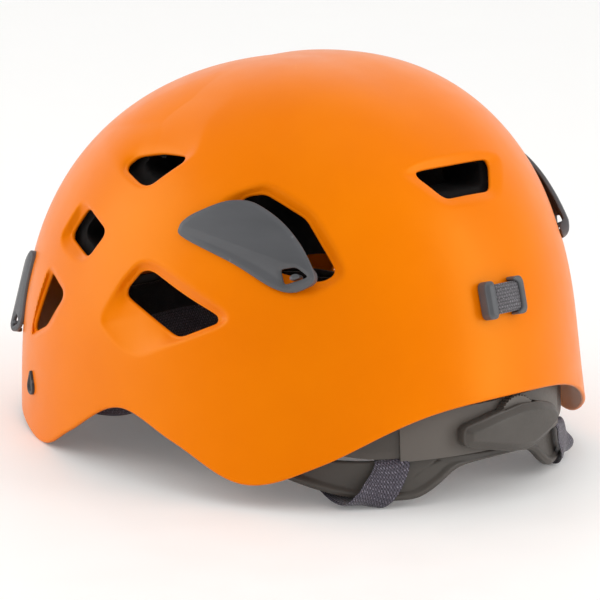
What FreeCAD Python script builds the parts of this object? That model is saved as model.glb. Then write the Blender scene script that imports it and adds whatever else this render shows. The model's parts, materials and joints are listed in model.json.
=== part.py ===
import FreeCAD, Part
import math
import os

import Sketcher
from FreeCAD import Placement, Rotation, Vector

# Climbing helmet. Every piece is drawn in the shell's own frame: X to the wearer's left, Y to the
# rear, Z up, with z = 0 at the widest level of the shell. One shared Placement then lifts the pieces
# so that z = 0 is the level of the lowest point and y = 0 the middle of the whole helmet.

DRIVING_SIZES = {
    # shell
    "half_width": 110, "front_length": 136.9, "rear_length": 129.8, "crown_height": 156,
    "plan_power": 2.185, "crown_power": 2.606, "front_power": 1.849, "rear_power": 1.961,
    "side_power": 2.534, "crown_set_back": 9.2, "flare_front": 0.025, "flare_rear": 0.088,
    "shell_wall": 2, "foam_gap": 0.8, "foam_thick": 20, "pad_thick": 6,
    # headband and its arms
    "band_wall": 1.8, "brow_height": 24, "arm_height": 12, "arm_side": 87.5, "arm_level": 24,
    "arm_end": 27, "arm_start": -20, "brow_pad_thick": 5,
    # rear unit
    "arc_centre": 27, "arc_radius": 93.5, "cradle_depth": 7.4, "cradle_height": 21, "wing_height": 18,
    "wing_front": 10, "wing_rear": 56, "channel_depth": 3.4, "channel_height": 17.8,
    "dial_side": -6, "dial_level": 4.2, "dial_radius": 11.8, "dial_thick": 3.8, "dial_ribs": 40,
    "axle_radius": 1.5, "axle_gap": 0.06,
    "pinion_pitch": 5, "pinion_teeth": 10, "tooth_tall": 0.9, "rack_thick": 2.4, "rack_height": 2.7,
    "cover_thick": 8.3, "cover_wall": 1.6, "nape_thick": 3.2,
    # clips, keeper and straps
    "clip_gap": 4.2, "clip_wall": 2.4, "webbing_width": 15, "webbing_thick": 1.5,
    "keeper_level": 59, "keeper_width": 16.4, "keeper_tilt": 11.5, "hook_side": -8.8, "cap_side": 10,
    "stud_radius": 2.4, "stud_length": 10,
    "strap_side": 76.8, "buckle_lift": 4.4, "strap_level": 24, "strap_reach": 86, "ear_set_back": 5,
    # place of the shell's frame in the helmet's frame
    "frame_rise": 29.44, "frame_shift": 2.145,
}

# Side view outlines as (y, z): the trimmed rim, then the five vents of each side.
RIM_LINE = [(145, 19), (126, 15.5), (97, -4), (68, -13), (34, 2), (0, 13.5), (-36, -2), (-60, -11.5),
            (-92, -6), (-150, 6)]
SIDE_VENTS = {
    "upper": [(-15.5, 114.4), (-10.2, 118.4), (5, 120.8), (19, 120.6), (4, 109.3), (-1, 109.4)],
    "front_upper": [(-34, 94.7), (-17, 87.2), (-26.3, 76.5), (-43.2, 83.1)],
    "front_lower": [(-57, 64.1), (-42.8, 57.4), (-58.5, 42.3), (-73, 37.1)],
    "middle": [(3.3, 63.7), (12, 73.1), (17.7, 73.2), (55, 56.5), (35.5, 48.5)],
    "rear": [(55.2, 106.2), (62.9, 107.8), (81, 97.9), (95.6, 76.7), (91.3, 73.8), (74, 79), (55, 96)],
}
# Rear view outline as (x, z) of the vent above the nape.
REAR_VENT = [(-23, 113.5), (23, 113.5), (14, 103.2), (-14, 103.2)]
VENT_RADIUS = 1.6

# Level under which the shell flares out.
FLARE_TOP = 40

document = FreeCAD.newDocument("ClimbingHelmet")
sizes = document.addObject("Spreadsheet::Sheet", "Sizes")
for row, (alias, number) in enumerate(DRIVING_SIZES.items(), start=1):
    sizes.set(f"A{row}", alias)
    sizes.set(f"B{row}", str(number))
    sizes.setAlias(f"B{row}", alias)
document.recompute()

PIECES = []


def size(alias):
    """Value of one driving size."""
    return float(getattr(sizes, alias))


def finish_piece(item, label, position=Vector(), rotation=Rotation()):
    """Name a piece and place it: its own place in the shell's frame, then the shared shift."""
    item.Label = label
    shift = Vector(0, size("frame_shift"), size("frame_rise"))
    item.Placement = Placement(position + shift, rotation)
    PIECES.append(item)
    return item


def solid_piece(label, shape):
    """A sculpted piece, kept as one clean solid."""
    item = document.addObject("Part::Feature", label)
    item.Shape = shape.removeSplitter() if len(shape.Solids) == 1 else shape
    return finish_piece(item, label)


# ---------------------------------------------------------------- the shell's form

def shell_point(angle, z, inset=0.0):
    """Point on the shell at an angle about Z and a level, moved in by inset."""
    cosine, sine = math.cos(angle), math.sin(angle)
    power = size("plan_power")
    plan = (abs(cosine) ** power + abs(sine) ** power) ** (-1 / power)
    end_power = size("rear_power") if sine > 0 else size("front_power")
    dome_power = end_power * sine ** 2 + size("side_power") * cosine ** 2
    rise = max(z, 0) / (size("crown_height") - inset)
    scale = max(1 - rise ** size("crown_power"), 0) ** (1 / dome_power)
    rear_share = (0.5 + 0.5 * sine) ** 2
    flare = size("flare_front") + (size("flare_rear") - size("flare_front")) * rear_share
    scale += flare * (max(FLARE_TOP - z, 0) / (2 * FLARE_TOP)) ** 2
    length = size("rear_length") if sine > 0 else size("front_length")
    return Vector((size("half_width") - inset) * cosine * plan * scale,
                  (length - inset) * sine * plan * scale + size("crown_set_back") * rise ** 2, z)


def shell_section(z, inset, count=32):
    """Closed level curve of the shell."""
    points = [shell_point(2 * math.pi * i / count, z, inset) for i in range(count)]
    curve = Part.BSplineCurve()
    curve.interpolate(points, PeriodicFlag=True)
    return Part.Wire([curve.toShape()])


def shell_form(inset, lowest=-34):
    """Solid bounded by the shell's outer surface moved in by inset."""
    top = size("crown_height") - inset
    levels = [lowest, lowest / 2] + [top * math.sin(math.radians(a)) for a in range(0, 88, 8)]
    levels += [top * math.sin(math.radians(88.8))]
    return Part.makeLoft([shell_section(z, inset) for z in levels], True, False)


def below_rim():
    """Everything under the rim line, which is drawn in the side view."""
    reach, depth = 160, 80
    points = [Vector(-reach, y, z) for y, z in RIM_LINE]
    curve = Part.BSplineCurve()
    curve.interpolate(points)
    floor = [points[-1], Vector(-reach, -reach, -depth), Vector(-reach, reach, -depth), points[0]]
    outline = Part.Wire([curve.toShape()] + [Part.makeLine(a, b) for a, b in zip(floor, floor[1:])])
    return Part.Face(outline).extrude(Vector(2 * reach, 0, 0))


def rounded_prism(points, travel, radius):
    """Prism through closed corner points, with its long edges rounded."""
    prism = Part.Face(Part.makePolygon(points + points[:1])).extrude(travel)
    along = [e for e in prism.Edges if abs(e.tangentAt(e.FirstParameter).dot(travel)) > 0.99 * travel.Length]
    return prism.makeFillet(radius, along)


def side_vent_prisms(inner, radius):
    """The five vents of both sides as prisms, from |x| = inner outwards."""
    prisms = []
    for outline in SIDE_VENTS.values():
        for side in (1, -1):
            points = [Vector(side * inner, y, z) for y, z in outline]
            prisms.append(rounded_prism(points, Vector(side * 80, 0, 0), radius))
    return prisms


def rear_vent_prism(radius):
    points = [Vector(x, 60, z) for x, z in REAR_VENT]
    return rounded_prism(points, Vector(0, 80, 0), radius)


def both_sides(shape):
    """The shape and its mirror image on the wearer's right."""
    return [shape, shape.mirror(Vector(), Vector(1, 0, 0))]


# ---------------------------------------------------------------- ribbons

def ribbon(path, widths, thick, up=Vector(0, 0, 1)):
    """Band of flat section along a smooth path. One width and up direction may serve every point."""
    middle = Part.BSplineCurve()
    middle.interpolate(path)
    if not isinstance(widths, list):
        widths = [widths] * len(path)
    if not isinstance(up, list):
        up = [up] * len(path)
    corners = [[], [], [], []]
    for point, width, upward in zip(path, widths, up):
        along = middle.tangent(middle.parameter(point))[0]
        out = along.cross(upward).normalize()
        lift = out.cross(along) * (width / 2)
        for row, (a, b) in zip(corners, ((-1, -1), (1, -1), (1, 1), (-1, 1))):
            row.append(point + lift * a + out * (b * thick / 2))
    edges = []
    for row in corners:
        curve = Part.BSplineCurve()
        curve.interpolate(row)
        edges.append(curve.toShape())
    faces = [Part.makeRuledSurface(edges[i], edges[(i + 1) % 4]) for i in range(4)]
    for end in (0, -1):
        ring = [row[end] for row in corners]
        faces.append(Part.Face(Part.makePolygon(ring + ring[:1])))
    shell = Part.makeShell(faces)
    shell.sewShape()
    solid = Part.makeSolid(shell)
    if solid.Volume < 0:
        solid.reverse()
    return solid


def box_between(low, high):
    """Box between two corners."""
    return Part.makeBox(high.x - low.x, high.y - low.y, high.z - low.z, low)


def driven_box(name, frame, centre, lengths):
    """Part box about a centre in a turned frame. A length is a number or an expression of the sheet."""
    box = document.addObject("Part::Box", name)
    for side, length in zip(("Length", "Width", "Height"), lengths):
        if isinstance(length, str):
            box.setExpression(side, length)
        else:
            setattr(box, side, length)
    box.recompute()
    half = Vector(box.Length.Value, box.Width.Value, box.Height.Value) * 0.5
    box.Placement = frame * Placement(Vector(*centre) - half, Rotation())
    return box


def driven_cylinder(name, base, axis, radius, height):
    """Part cylinder from a base point along an axis. Its sizes are numbers or expressions of the sheet."""
    cylinder = document.addObject("Part::Cylinder", name)
    for side, length in (("Radius", radius), ("Height", height)):
        if isinstance(length, str):
            cylinder.setExpression(side, length)
        else:
            setattr(cylinder, side, length)
    cylinder.Placement = Placement(base, Rotation(Vector(0, 0, 1), axis))
    return cylinder


def joined(name, items):
    """Parts fused into one."""
    fusion = document.addObject("Part::MultiFuse", name)
    fusion.Shapes = items
    return fusion


def cut_out(name, base, tool):
    """A part with another part cut out of it."""
    cut = document.addObject("Part::Cut", name)
    cut.Base, cut.Tool = base, tool
    return cut


def ring_piece(inner, outer, low, high):
    """Rear half of a ring about the rear unit's own centre line."""
    centre = Vector(0, size("arc_centre"), low)
    ring = Part.makeCylinder(outer, high - low, centre).cut(Part.makeCylinder(inner, high - low, centre))
    return ring.common(box_between(Vector(-120, size("arc_centre") + 20, low), Vector(120, 160, high)))


def arc_point(angle, radius, z):
    """Point of the rear unit at an angle from the middle, positive to the wearer's left."""
    turn = math.radians(angle)
    return Vector(radius * math.sin(turn), size("arc_centre") + radius * math.cos(turn), z)


# ---------------------------------------------------------------- clips

# Leaf outline as (along, across): the fixed end at 0, the free end at 1.
LEAF = [(0.0, -0.02), (0.03, 0.14), (0.22, 0.32), (0.43, 0.34), (0.68, 0.29), (0.88, 0.17), (1.0, 0.04),
        (0.95, -0.07), (0.78, -0.11), (0.43, -0.06)]


class ClipFrame:
    """Place and directions of one clip: root on the shell, along the leaf, across it and outwards.

    The root and the tip are given as an angle about Z in degrees and a level.
    """

    def __init__(self, root, tip, length):
        self.root = shell_point(math.radians(root[0]), root[1])
        self.length = length
        turn, level = math.radians((root[0] + tip[0]) / 2), (root[1] + tip[1]) / 2
        level_line = shell_point(turn + 0.05, level) - shell_point(turn - 0.05, level)
        rise_line = shell_point(turn, level + 3) - shell_point(turn, level - 3)
        self.outward = level_line.cross(rise_line).normalize()
        line = shell_point(math.radians(tip[0]), tip[1]) - self.root
        self.along = (line - self.outward * line.dot(self.outward)).normalize()
        self.across = self.outward.cross(self.along)

    def at(self, along, across, out=0.0):
        return self.root + self.along * along + self.across * across + self.outward * out

    def block(self, centre, lengths):
        """Box centred on a place of this frame, with sides along, across and outwards."""
        box = Part.makeBox(*lengths, Vector(*[-side / 2 for side in lengths]))
        turn = Rotation(self.along, self.across, self.outward, "XYZ")
        box.Placement = Placement(self.at(*centre), turn)
        return box


REAR_CLIP = ClipFrame((13.5, 92), (46, 73), 68)
FRONT_CLIP = ClipFrame((-40, 68), (-48, 28), 44)
# Foot of a clip: its centre as (along, across) and its sides. Slot of the free end as shares of the leaf.
FOOT_PLACE, FOOT_SIDES, FOOT_ROOM = (5, 3.5), (2.4, 9, 10), 3.2
SLOT_PLACE, SLOT_SIDES, HOOK_SIDES, HOOK_RISE = (0.86, 0.03), (8, 6, 60), (4.6, 4, 30), 1.2


def clip_shape(frame, flip):
    """Leaf that follows the shell at a gap, with a foot at its fixed end and a slot at its free end."""
    points = [frame.at(a * frame.length, b * frame.length * flip, -20) for a, b in LEAF]
    curve = Part.BSplineCurve()
    curve.interpolate(points, PeriodicFlag=True)
    prism = Part.Face(Part.Wire([curve.toShape()])).extrude(frame.outward * 40)
    gap, wall = size("clip_gap"), size("clip_wall")
    leaf = prism.common(shell_form(-gap - wall, -10).cut(shell_form(-gap, -10)))
    foot = frame.block(foot_centre(flip, 1), FOOT_SIDES)
    slot = frame.block(slot_centre(frame, flip), SLOT_SIDES)
    outside = shell_form(-gap - wall, -10)
    return leaf.fuse(foot.common(outside)).cut(slot)


def foot_centre(flip, out):
    return FOOT_PLACE[0], FOOT_PLACE[1] * flip, out


def slot_centre(frame, flip):
    return SLOT_PLACE[0] * frame.length, SLOT_PLACE[1] * frame.length * flip, 0


def clip_slot(frame, flip):
    """Slot in the shell for the foot of a clip."""
    thick, wide, deep = FOOT_SIDES
    return frame.block(foot_centre(flip, 0), (thick + FOOT_ROOM, wide + 1.4, 3 * deep))


def clip_hook(frame, flip):
    """Small hook on the shell that fills part of the slot in the clip's free end."""
    hook = frame.block(slot_centre(frame, flip), HOOK_SIDES)
    return hook.common(shell_form(-size("clip_gap") - HOOK_RISE, -10)).cut(shell_form(1, -10))


# ---------------------------------------------------------------- hard shell and lining

def front_anchor_axis():
    """Outside point of the front strap anchor and its inward direction."""
    return Vector(98, -75.2, 12.7), Vector(-0.83, 0.55, -0.05).normalize()


def build_shell():
    shell = shell_form(0).cut(shell_form(size("shell_wall")))
    shell = shell.cut(below_rim())
    shell = max(shell.Solids, key=lambda s: s.Volume)
    for prism in side_vent_prisms(45, VENT_RADIUS) + [rear_vent_prism(VENT_RADIUS)]:
        shell = shell.cut(prism)
    place, inward = front_anchor_axis()
    stud_hole = Part.makeCylinder(size("stud_radius") + 0.3, 20, place - inward * 8, inward)
    holes = both_sides(stud_hole)
    hooks = []
    for frame, flip in ((REAR_CLIP, 1), (FRONT_CLIP, -1)):
        holes += both_sides(clip_slot(frame, flip))
        hooks += both_sides(clip_hook(frame, flip))
    for side in (size("hook_side"), size("cap_side")):
        holes.append(keeper_slot(side))
    for hole in holes:
        shell = shell.cut(hole)
    solid_piece("outer_shell", shell.fuse(hooks))


def build_foam():
    """Foam cap in the crown, higher at the rear, with channels behind the vents."""
    outer = size("shell_wall") + size("foam_gap")
    foam = shell_form(outer).cut(shell_form(outer + size("foam_thick")))
    rear_edge, front_edge, reach, depth = 86, 66, 160, -60
    profile = [(reach, depth), (reach, rear_edge), (-reach, front_edge), (-reach, depth)]
    corners = [Vector(-reach, y, z) for y, z in profile]
    lower = Part.Face(Part.makePolygon(corners + corners[:1]))
    foam = foam.cut(lower.extrude(Vector(2 * reach, 0, 0)))
    for prism in side_vent_prisms(58, VENT_RADIUS) + [rear_vent_prism(VENT_RADIUS)]:
        foam = foam.cut(prism)
    for frame, flip in ((REAR_CLIP, 1), (FRONT_CLIP, -1)):
        pocket = frame.block(foot_centre(flip, -5), (12, 14, 16))
        for shape in both_sides(pocket):
            foam = foam.cut(shape)
    foam = max(foam.Solids, key=lambda s: s.Volume)
    solid_piece("foam_liner", foam)


def build_crown_pad():
    """Pad under the foam, above one level."""
    lowest, gap, reach = 118, 0.4, 150
    outer = size("shell_wall") + size("foam_gap") + size("foam_thick") + gap
    cushion = shell_form(outer).cut(shell_form(outer + size("pad_thick")))
    cushion = cushion.cut(box_between(Vector(-reach, -reach, -reach), Vector(reach, reach, lowest)))
    solid_piece("crown_pad", cushion)


# ---------------------------------------------------------------- headband

BROW_PATH = [(0, -112, 31), (40, -104, 31), (70, -78, 30), (84, -45, 27)]


def brow_points(inset=0.0):
    """Plan path of the brow part of the headband, right to left, moved in by inset."""
    left = [Vector(x * (1 - inset / 110), y + inset * (0.3 + 0.7 * abs(y) / 112), z) for x, y, z in BROW_PATH]
    right = [Vector(-p.x, p.y, p.z) for p in reversed(left[1:])]
    return right + left


def build_headband():
    """Brow band with a straight arm on either side, which slides in the rear band's wing."""
    side, level, start = size("arm_side"), size("arm_level"), size("arm_start")
    ends = [Vector(side, start, level), Vector(side, start + 4, level)]
    path = [Vector(-p.x, p.y, p.z) for p in reversed(ends)] + brow_points() + ends
    tall, arm = size("brow_height"), size("arm_height")
    widths = [arm, arm, 17, 22, tall, tall, tall, 22, 17, arm, arm]
    band = ribbon(path, widths, size("band_wall"))
    half = size("band_wall") / 2
    low = Vector(side - half, start + 2, level - arm / 2)
    rod = box_between(low, Vector(side + half, size("arm_end"), level + arm / 2))
    solid_piece("headband", band.fuse(both_sides(rod)))


def build_brow_pad():
    """Pad along the inside of the headband's brow part."""
    cushion = ribbon(brow_points(5.2), [16, 20, 22, 22, 22, 20, 16], size("brow_pad_thick"))
    solid_piece("brow_pad", cushion)


# ---------------------------------------------------------------- rear unit

def wing_path():
    """Centre line of the left wing, from the rear arc to the side of the head."""
    side, rear, level = size("arm_side"), size("wing_rear"), size("arm_level")
    return [arc_point(24, size("arc_radius"), size("dial_level")), arc_point(30, size("arc_radius"), 3.2),
            arc_point(37, size("arc_radius"), 2.5), Vector(73.5, 85.5, 8), Vector(84, 69, 17),
            Vector(side, rear, level), Vector(side, rear - 4, level)]


REARWARD = Vector(0, 1, 0)


def wing_box(height, depth, front, rear):
    """Straight part of a wing, or of the channel in it."""
    side, level = size("arm_side"), size("arm_level")
    return box_between(Vector(side - depth / 2, front, level - height / 2),
                       Vector(side + depth / 2, rear, level + height / 2))


def build_rear_band():
    """Curved channel that holds the racks, with wings that sleeve the headband's arms."""
    radius, level = size("arc_radius"), size("dial_level")
    inward, outward, tall = 2.8, size("cradle_depth") / 2, size("cradle_height")
    band = ring_piece(radius - inward, radius + outward, level - tall / 2, level + tall / 2)
    band = band.common(sector(-30, 30, 1))
    front, rear, wing = size("wing_front"), size("wing_rear"), size("wing_height")
    strap = ribbon(wing_path(), [17, 16, 14, 14, 16, wing, wing], 5)
    sleeve = wing_box(wing, 5.6, front, rear - 2)
    band = band.fuse(both_sides(strap) + both_sides(sleeve))
    channel = ring_piece(radius - size("channel_depth") / 2, radius + size("channel_depth") / 2,
                         level - size("channel_height") / 2, level + size("channel_height") / 2)
    band = band.cut(channel.common(sector(-28.6, 28.6, 1)))
    arm_room = wing_box(size("arm_height") + 1, size("band_wall") + 1, front - 1, rear + 2)
    for room in both_sides(arm_room):
        band = band.cut(room)
    axis = Vector(size("dial_side"), 100, level)
    band = band.cut(Part.makeCylinder(size("pinion_pitch") + 1.4, 60, axis, REARWARD))
    seat = Part.makeCylinder(8, 1.6, Vector(axis.x, 116, level), REARWARD)
    bore = Part.makeCylinder(size("axle_radius") + 0.02, 60, axis, REARWARD)
    solid_piece("rear_band", band.fuse(seat).cut(bore))


# Rear view outline of the nape cradle as (x, z), left half: its lower edge, then its upper edge.
NAPE_OUTLINE = [(0, -10.5), (14, -10.8), (23, -12), (32, -19), (40, -23.4), (50, -23.4), (58, -20), (65, -12),
                (65, -8), (61, -16), (42, -16), (30, -10.6), (24, -7.3), (0, -7.3)]


def build_nape_cradle():
    """Curved plate with two lobes under the rear band, left open where the rear webbing passes."""
    points = [Vector(x, 60, z) for x, z in NAPE_OUTLINE]
    points += [Vector(-x, 60, z) for x, z in reversed(NAPE_OUTLINE[1:-1])]
    prism = Part.Face(Part.makePolygon(points + points[:1])).extrude(Vector(0, 90, 0))
    radius, thick = size("arc_radius"), size("nape_thick")
    plate = prism.common(ring_piece(radius - thick / 2, radius + thick / 2, -40, 10))
    solid_piece("nape_cradle", plate)


# Rear view outline of the dial cover as (x, z).
COVER_OUTLINE = [(25, 7.4), (7, 11.3), (-6, 13), (-18, 11.8), (-29.5, 8.6), (-33, 5), (-32.5, -1.6),
                 (-24, -5), (-12, -8.8), (0, -8.8), (25, -1.6)]


def build_dial_cover():
    """Leaf-shaped hollow cover of the dial, open above it, with room for the detent spring."""
    radius = size("arc_radius") + size("cradle_depth") / 2 + 0.2
    points = [Vector(x, 100, z) for x, z in COVER_OUTLINE]
    prism = Part.Face(Part.makePolygon(points + points[:1])).extrude(Vector(0, 60, 0))
    cover = prism.common(ring_piece(radius, radius + size("cover_thick"), -30, 30))
    axis = Vector(size("dial_side"), 90, size("dial_level"))
    pocket = Part.makeCylinder(size("dial_radius") + 0.6, 60, axis, REARWARD)
    pocket = pocket.fuse(box_between(axis + Vector(9, 0, -6), axis + Vector(14.2, 60, 6)))
    inside = ring_piece(radius - 1, radius + size("cover_thick") - size("cover_wall"), -30, 30)
    solid_piece("dial_cover", cover.cut(pocket.common(inside)))


def dial_face():
    """Distance from the middle plane at which the wheel's inner face runs."""
    reach = size("arc_radius") + size("cradle_depth") / 2
    return size("arc_centre") + reach + 0.3


def origin_plane(body, role):
    return [plane for plane in body.Origin.OriginFeatures if plane.Role == role][0]


def new_sketch(body, name, role):
    sketch = body.newObject("Sketcher::SketchObject", name)
    sketch.AttachmentSupport = [(origin_plane(body, role), "")]
    sketch.MapMode = "FlatFace"
    return sketch


def circle(radius, x=0.0, y=0.0):
    return Part.Circle(Vector(x, y, 0), Vector(0, 0, 1), radius)


def add_polygon(sketch, points):
    """Closed outline with joined corners."""
    corners = [Vector(x, y, 0) for x, y in points]
    count = len(corners)
    lines = [Part.LineSegment(corners[i], corners[(i + 1) % count]) for i in range(count)]
    first = sketch.addGeometry(lines, False)[0]
    for i in range(count):
        sketch.addConstraint(Sketcher.Constraint("Coincident", first + i, 2, first + (i + 1) % count, 1))


def extrude(body, sketch, name, length):
    """Pad of a sketch whose length follows the sheet."""
    item = body.newObject("PartDesign::Pad", name)
    item.Profile = sketch
    item.setExpression("Length", length)
    body.Tip = item
    sketch.Visibility = False
    return item


def driven_circle(sketch, name, radius):
    """Circle at the sketch's origin whose radius follows the sheet."""
    index = sketch.addGeometry(circle(10), False)
    sketch.addConstraint(Sketcher.Constraint("Coincident", index, 3, -1, 1))
    row = sketch.addConstraint(Sketcher.Constraint("Radius", index, 10))
    sketch.renameConstraint(row, name)
    sketch.setExpression(f"Constraints.{name}", radius)


def polar_pattern(body, name, original, count):
    pattern = body.newObject("PartDesign::PolarPattern", name)
    pattern.Originals = [original]
    pattern.Axis = ([f for f in body.Origin.OriginFeatures if f.Role == "Z_Axis"][0], [""])
    pattern.Angle = 360
    pattern.setExpression("Occurrences", count)
    body.Tip = pattern
    return pattern


# Bodies are drawn upright on XY; this turn points their Z to the rear.
TO_REAR = Rotation(Vector(1, 0, 0), -90)


def build_dial_wheel():
    body = document.addObject("PartDesign::Body", "dial_wheel")
    disc = new_sketch(body, "DialDisc", "XY_Plane")
    driven_circle(disc, "rim", "Sizes.dial_radius - 0.5")
    driven_circle(disc, "bore", "Sizes.axle_radius + Sizes.axle_gap")
    extrude(body, disc, "DialPad", "Sizes.dial_thick")
    rib = new_sketch(body, "DialRib", "XY_Plane")
    radius = size("dial_radius")
    add_polygon(rib, [(radius - 1, -0.5), (radius, -0.3), (radius, 0.3), (radius - 1, 0.5)])
    ribs = extrude(body, rib, "DialRibPad", "Sizes.dial_thick")
    polar_pattern(body, "DialRibs", ribs, "Sizes.dial_ribs")
    place = Vector(size("dial_side"), dial_face(), size("dial_level"))
    finish_piece(body, "dial_wheel", place, TO_REAR)


def build_pinion():
    body = document.addObject("PartDesign::Body", "dial_pinion")
    core = new_sketch(body, "PinionCore", "XY_Plane")
    driven_circle(core, "root", "Sizes.pinion_pitch - Sizes.tooth_tall - 0.1")
    driven_circle(core, "bore", "Sizes.axle_radius + Sizes.axle_gap")
    extrude(body, core, "PinionPad", "Sizes.rack_thick")
    tooth = new_sketch(body, "PinionTooth", "XY_Plane")
    pitch, tall = size("pinion_pitch"), size("tooth_tall")
    root, tip = pitch - tall - 0.4, pitch + tall - 0.1
    add_polygon(tooth, [(root, -0.75), (tip, -0.3), (tip, 0.3), (root, 0.75)])
    teeth = extrude(body, tooth, "PinionToothPad", "Sizes.rack_thick")
    polar_pattern(body, "PinionTeeth", teeth, "Sizes.pinion_teeth")
    middle = size("arc_centre") + size("arc_radius") - 0.2
    place = Vector(size("dial_side"), middle - size("rack_thick") / 2, size("dial_level"))
    finish_piece(body, "dial_pinion", place, TO_REAR)


def build_axle():
    body = document.addObject("PartDesign::Body", "dial_axle")
    stem = new_sketch(body, "AxleStem", "XY_Plane")
    driven_circle(stem, "stem", "Sizes.axle_radius")
    extrude(body, stem, "AxlePad", "Sizes.dial_thick + 10.6")
    head = new_sketch(body, "AxleHead", "XY_Plane")
    driven_circle(head, "head", "Sizes.axle_radius * 1.8")
    extrude(body, head, "AxleHeadPad", "1.2").Reversed = True
    finish_piece(body, "dial_axle", Vector(size("dial_side"), 115.9, size("dial_level")), TO_REAR)


def rack_shape(direction):
    """Toothed strap on the rear arc: direction 1 is the left one, below the pinion."""
    radius, half, pitch = size("arc_radius"), size("rack_thick") / 2, size("pinion_pitch")
    near = pitch + size("tooth_tall") + 0.3
    far = near + size("rack_height") - 0.8
    first = math.degrees(math.asin(size("dial_side") / radius)) * direction
    end = first + 24
    levels = sorted(size("dial_level") - direction * reach for reach in (near, far))
    body = ring_piece(radius - half, radius + half, *levels).common(sector(first - 3.5, end, direction))
    turn = math.degrees(2 * math.pi * pitch / size("pinion_teeth") / radius)
    for i in range(-1, int((end - first) / turn)):
        body = body.fuse(rack_tooth((first + i * turn) * direction, near, direction))
    return body


def sector(start, end, direction):
    """Wedge of space between two angles from the middle, for one side."""
    points = [Vector(0, size("arc_centre"), -40)]
    for k in range(5):
        angle = (start + (end - start) * k / 4) * direction
        points.append(arc_point(angle, 140, -40))
    return Part.Face(Part.makePolygon(points + points[:1])).extrude(Vector(0, 0, 100))


def rack_tooth(angle, near, direction):
    """One rack tooth, pointing at the pinion."""
    half, tall = size("rack_thick") / 2, size("tooth_tall")
    base = size("dial_level") - direction * (near + 0.2)
    tip = size("dial_level") - direction * (near - 2 * tall - 0.1)
    place = arc_point(angle, size("arc_radius") - half, 0)
    turn = math.radians(angle)
    side = Vector(math.cos(turn), -math.sin(turn), 0)
    out = Vector(math.sin(turn), math.cos(turn), 0)
    corners = [(-0.6, base), (0.6, base), (0.3, tip), (-0.3, tip)]
    points = [place + side * s + Vector(0, 0, z) for s, z in corners]
    return Part.Face(Part.makePolygon(points + points[:1])).extrude(out * (2 * half))


def build_detent():
    """Small leaf spring beside the dial that gives it its clicks."""
    middle = Vector(size("dial_side") + size("dial_radius") + 0.5, dial_face() + size("dial_thick") / 2,
                    size("dial_level"))
    path = [middle + Vector(0.03 * z * z, 0, z) for z in (-5, -2.5, 0, 2.5, 5)]
    spring = ribbon(path, 2.6, 0.4, REARWARD)
    solid_piece("detent_spring", spring)


# ---------------------------------------------------------------- keeper at the rear

def keeper_frame():
    """Point on the shell at the keeper's level, and the turn that follows the shell there."""
    place = shell_point(math.pi / 2, size("keeper_level"))
    return place, Rotation(Vector(1, 0, 0), size("keeper_tilt"))


def keeper_slot(side):
    """Slot in the shell for the stem of a keeper piece."""
    place, turn = keeper_frame()
    slot = Part.makeBox(4.6, 14, 9, Vector(side - 2.3, -6, -4.5))
    slot.Placement = Placement(place, turn)
    return slot


def build_keeper():
    """Hook and cap of the headlamp keeper with an elastic tape between them."""
    frame = Placement(*keeper_frame())
    hook, cap, tall = size("hook_side"), size("cap_side"), "Sizes.keeper_width"
    plate = driven_box("KeeperPlate", frame, (hook, 3.3, 0), (5, 5.4, tall))
    mouth = driven_box("KeeperMouth", frame, (hook + 2.3, 3.3, 0), (4.6, 2.6, f"{tall} - 2.4"))
    stem = driven_box("KeeperHookStem", frame, (hook, -0.95, 0), (3.6, 4.9, 8))
    finish_piece(joined("keeper_anchor", [cut_out("KeeperHook", plate, mouth), stem]), "keeper_anchor")
    tape = driven_box("keeper_elastic", frame, (0.1, 3.3, 0), (12.6, 1.8, f"{tall} - 3.6"))
    place = tape.Placement
    finish_piece(tape, "keeper_elastic", place.Base, place.Rotation)
    block = driven_box("KeeperBlock", frame, (cap, 3.8, 0), (6.8, 6.4, tall))
    bevelled = document.addObject("Part::Chamfer", "KeeperCap")
    bevelled.Base = block
    upright = [i for i, edge in enumerate(block.Shape.Edges, start=1) if abs(edge.Length - 6.4) < 0.01]
    bevelled.Edges = [(i, 2.2, 2.2) for i in upright]
    stem = driven_box("KeeperCapStem", frame, (cap, -0.95, 0), (3.6, 4.9, 8))
    finish_piece(joined("keeper_toggle", [bevelled, stem]), "keeper_toggle")


# ---------------------------------------------------------------- straps and buckle

def build_strap_anchors():
    """Front studs that pin the headband and the front webbing to the shell."""
    head_radius, head_thick, flange_radius, flange_thick = 4.4, 1.2, 5.5, 1.6
    for side, word in ((1, "left"), (-1, "right")):
        place, inward = front_anchor_axis()
        place.x, inward.x = side * place.x, side * inward.x
        head = driven_cylinder(f"StudHead_{word}", place, inward, head_radius, head_thick)
        stem = driven_cylinder(f"StudStem_{word}", place + inward, inward, "Sizes.stud_radius",
                               "Sizes.stud_length")
        end = place + inward * size("stud_length")
        flange = driven_cylinder(f"StudFlange_{word}", end, inward, flange_radius, flange_thick)
        name = f"front_anchor_{word}"
        finish_piece(joined(name, [head, stem, flange]), name)


# Middle line of each side's front tape, and of the rear tape's run from the cradle to the ear.
FRONT_TAPE = [(86.2, -66.5, 10), (84.5, -45, 8), (83, -30, 9), (82.6, -14, 14), (82.6, -2, 18)]
REAR_TAPE_END = [(60, 88, -26.5), (66, 66, -16), (70, 40, 0), (71.5, 20, 8)]
# Rear tape through the cradle as (angle, distance beyond the arc, level), and its sideways directions.
REAR_TAPE = [(33, -4.4, 20), (33, -4.6, 4), (33, -4.4, -5), (33.1, -3.4, -9.3), (33.4, 0.3, -12.4),
             (34, 3.8, -15.6), (35, 4.2, -20.5), (36, 0, -26)]
REAR_TAPE_ACROSS = [(0.84, -0.54, 0)] * 7 + [(0.88, -0.4, 0), (0.97, 0.15, 0.15), (0.8, 0.3, 0.5),
                                             (0.4, 0.3, 0.86), (0, 0, 1)]


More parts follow.
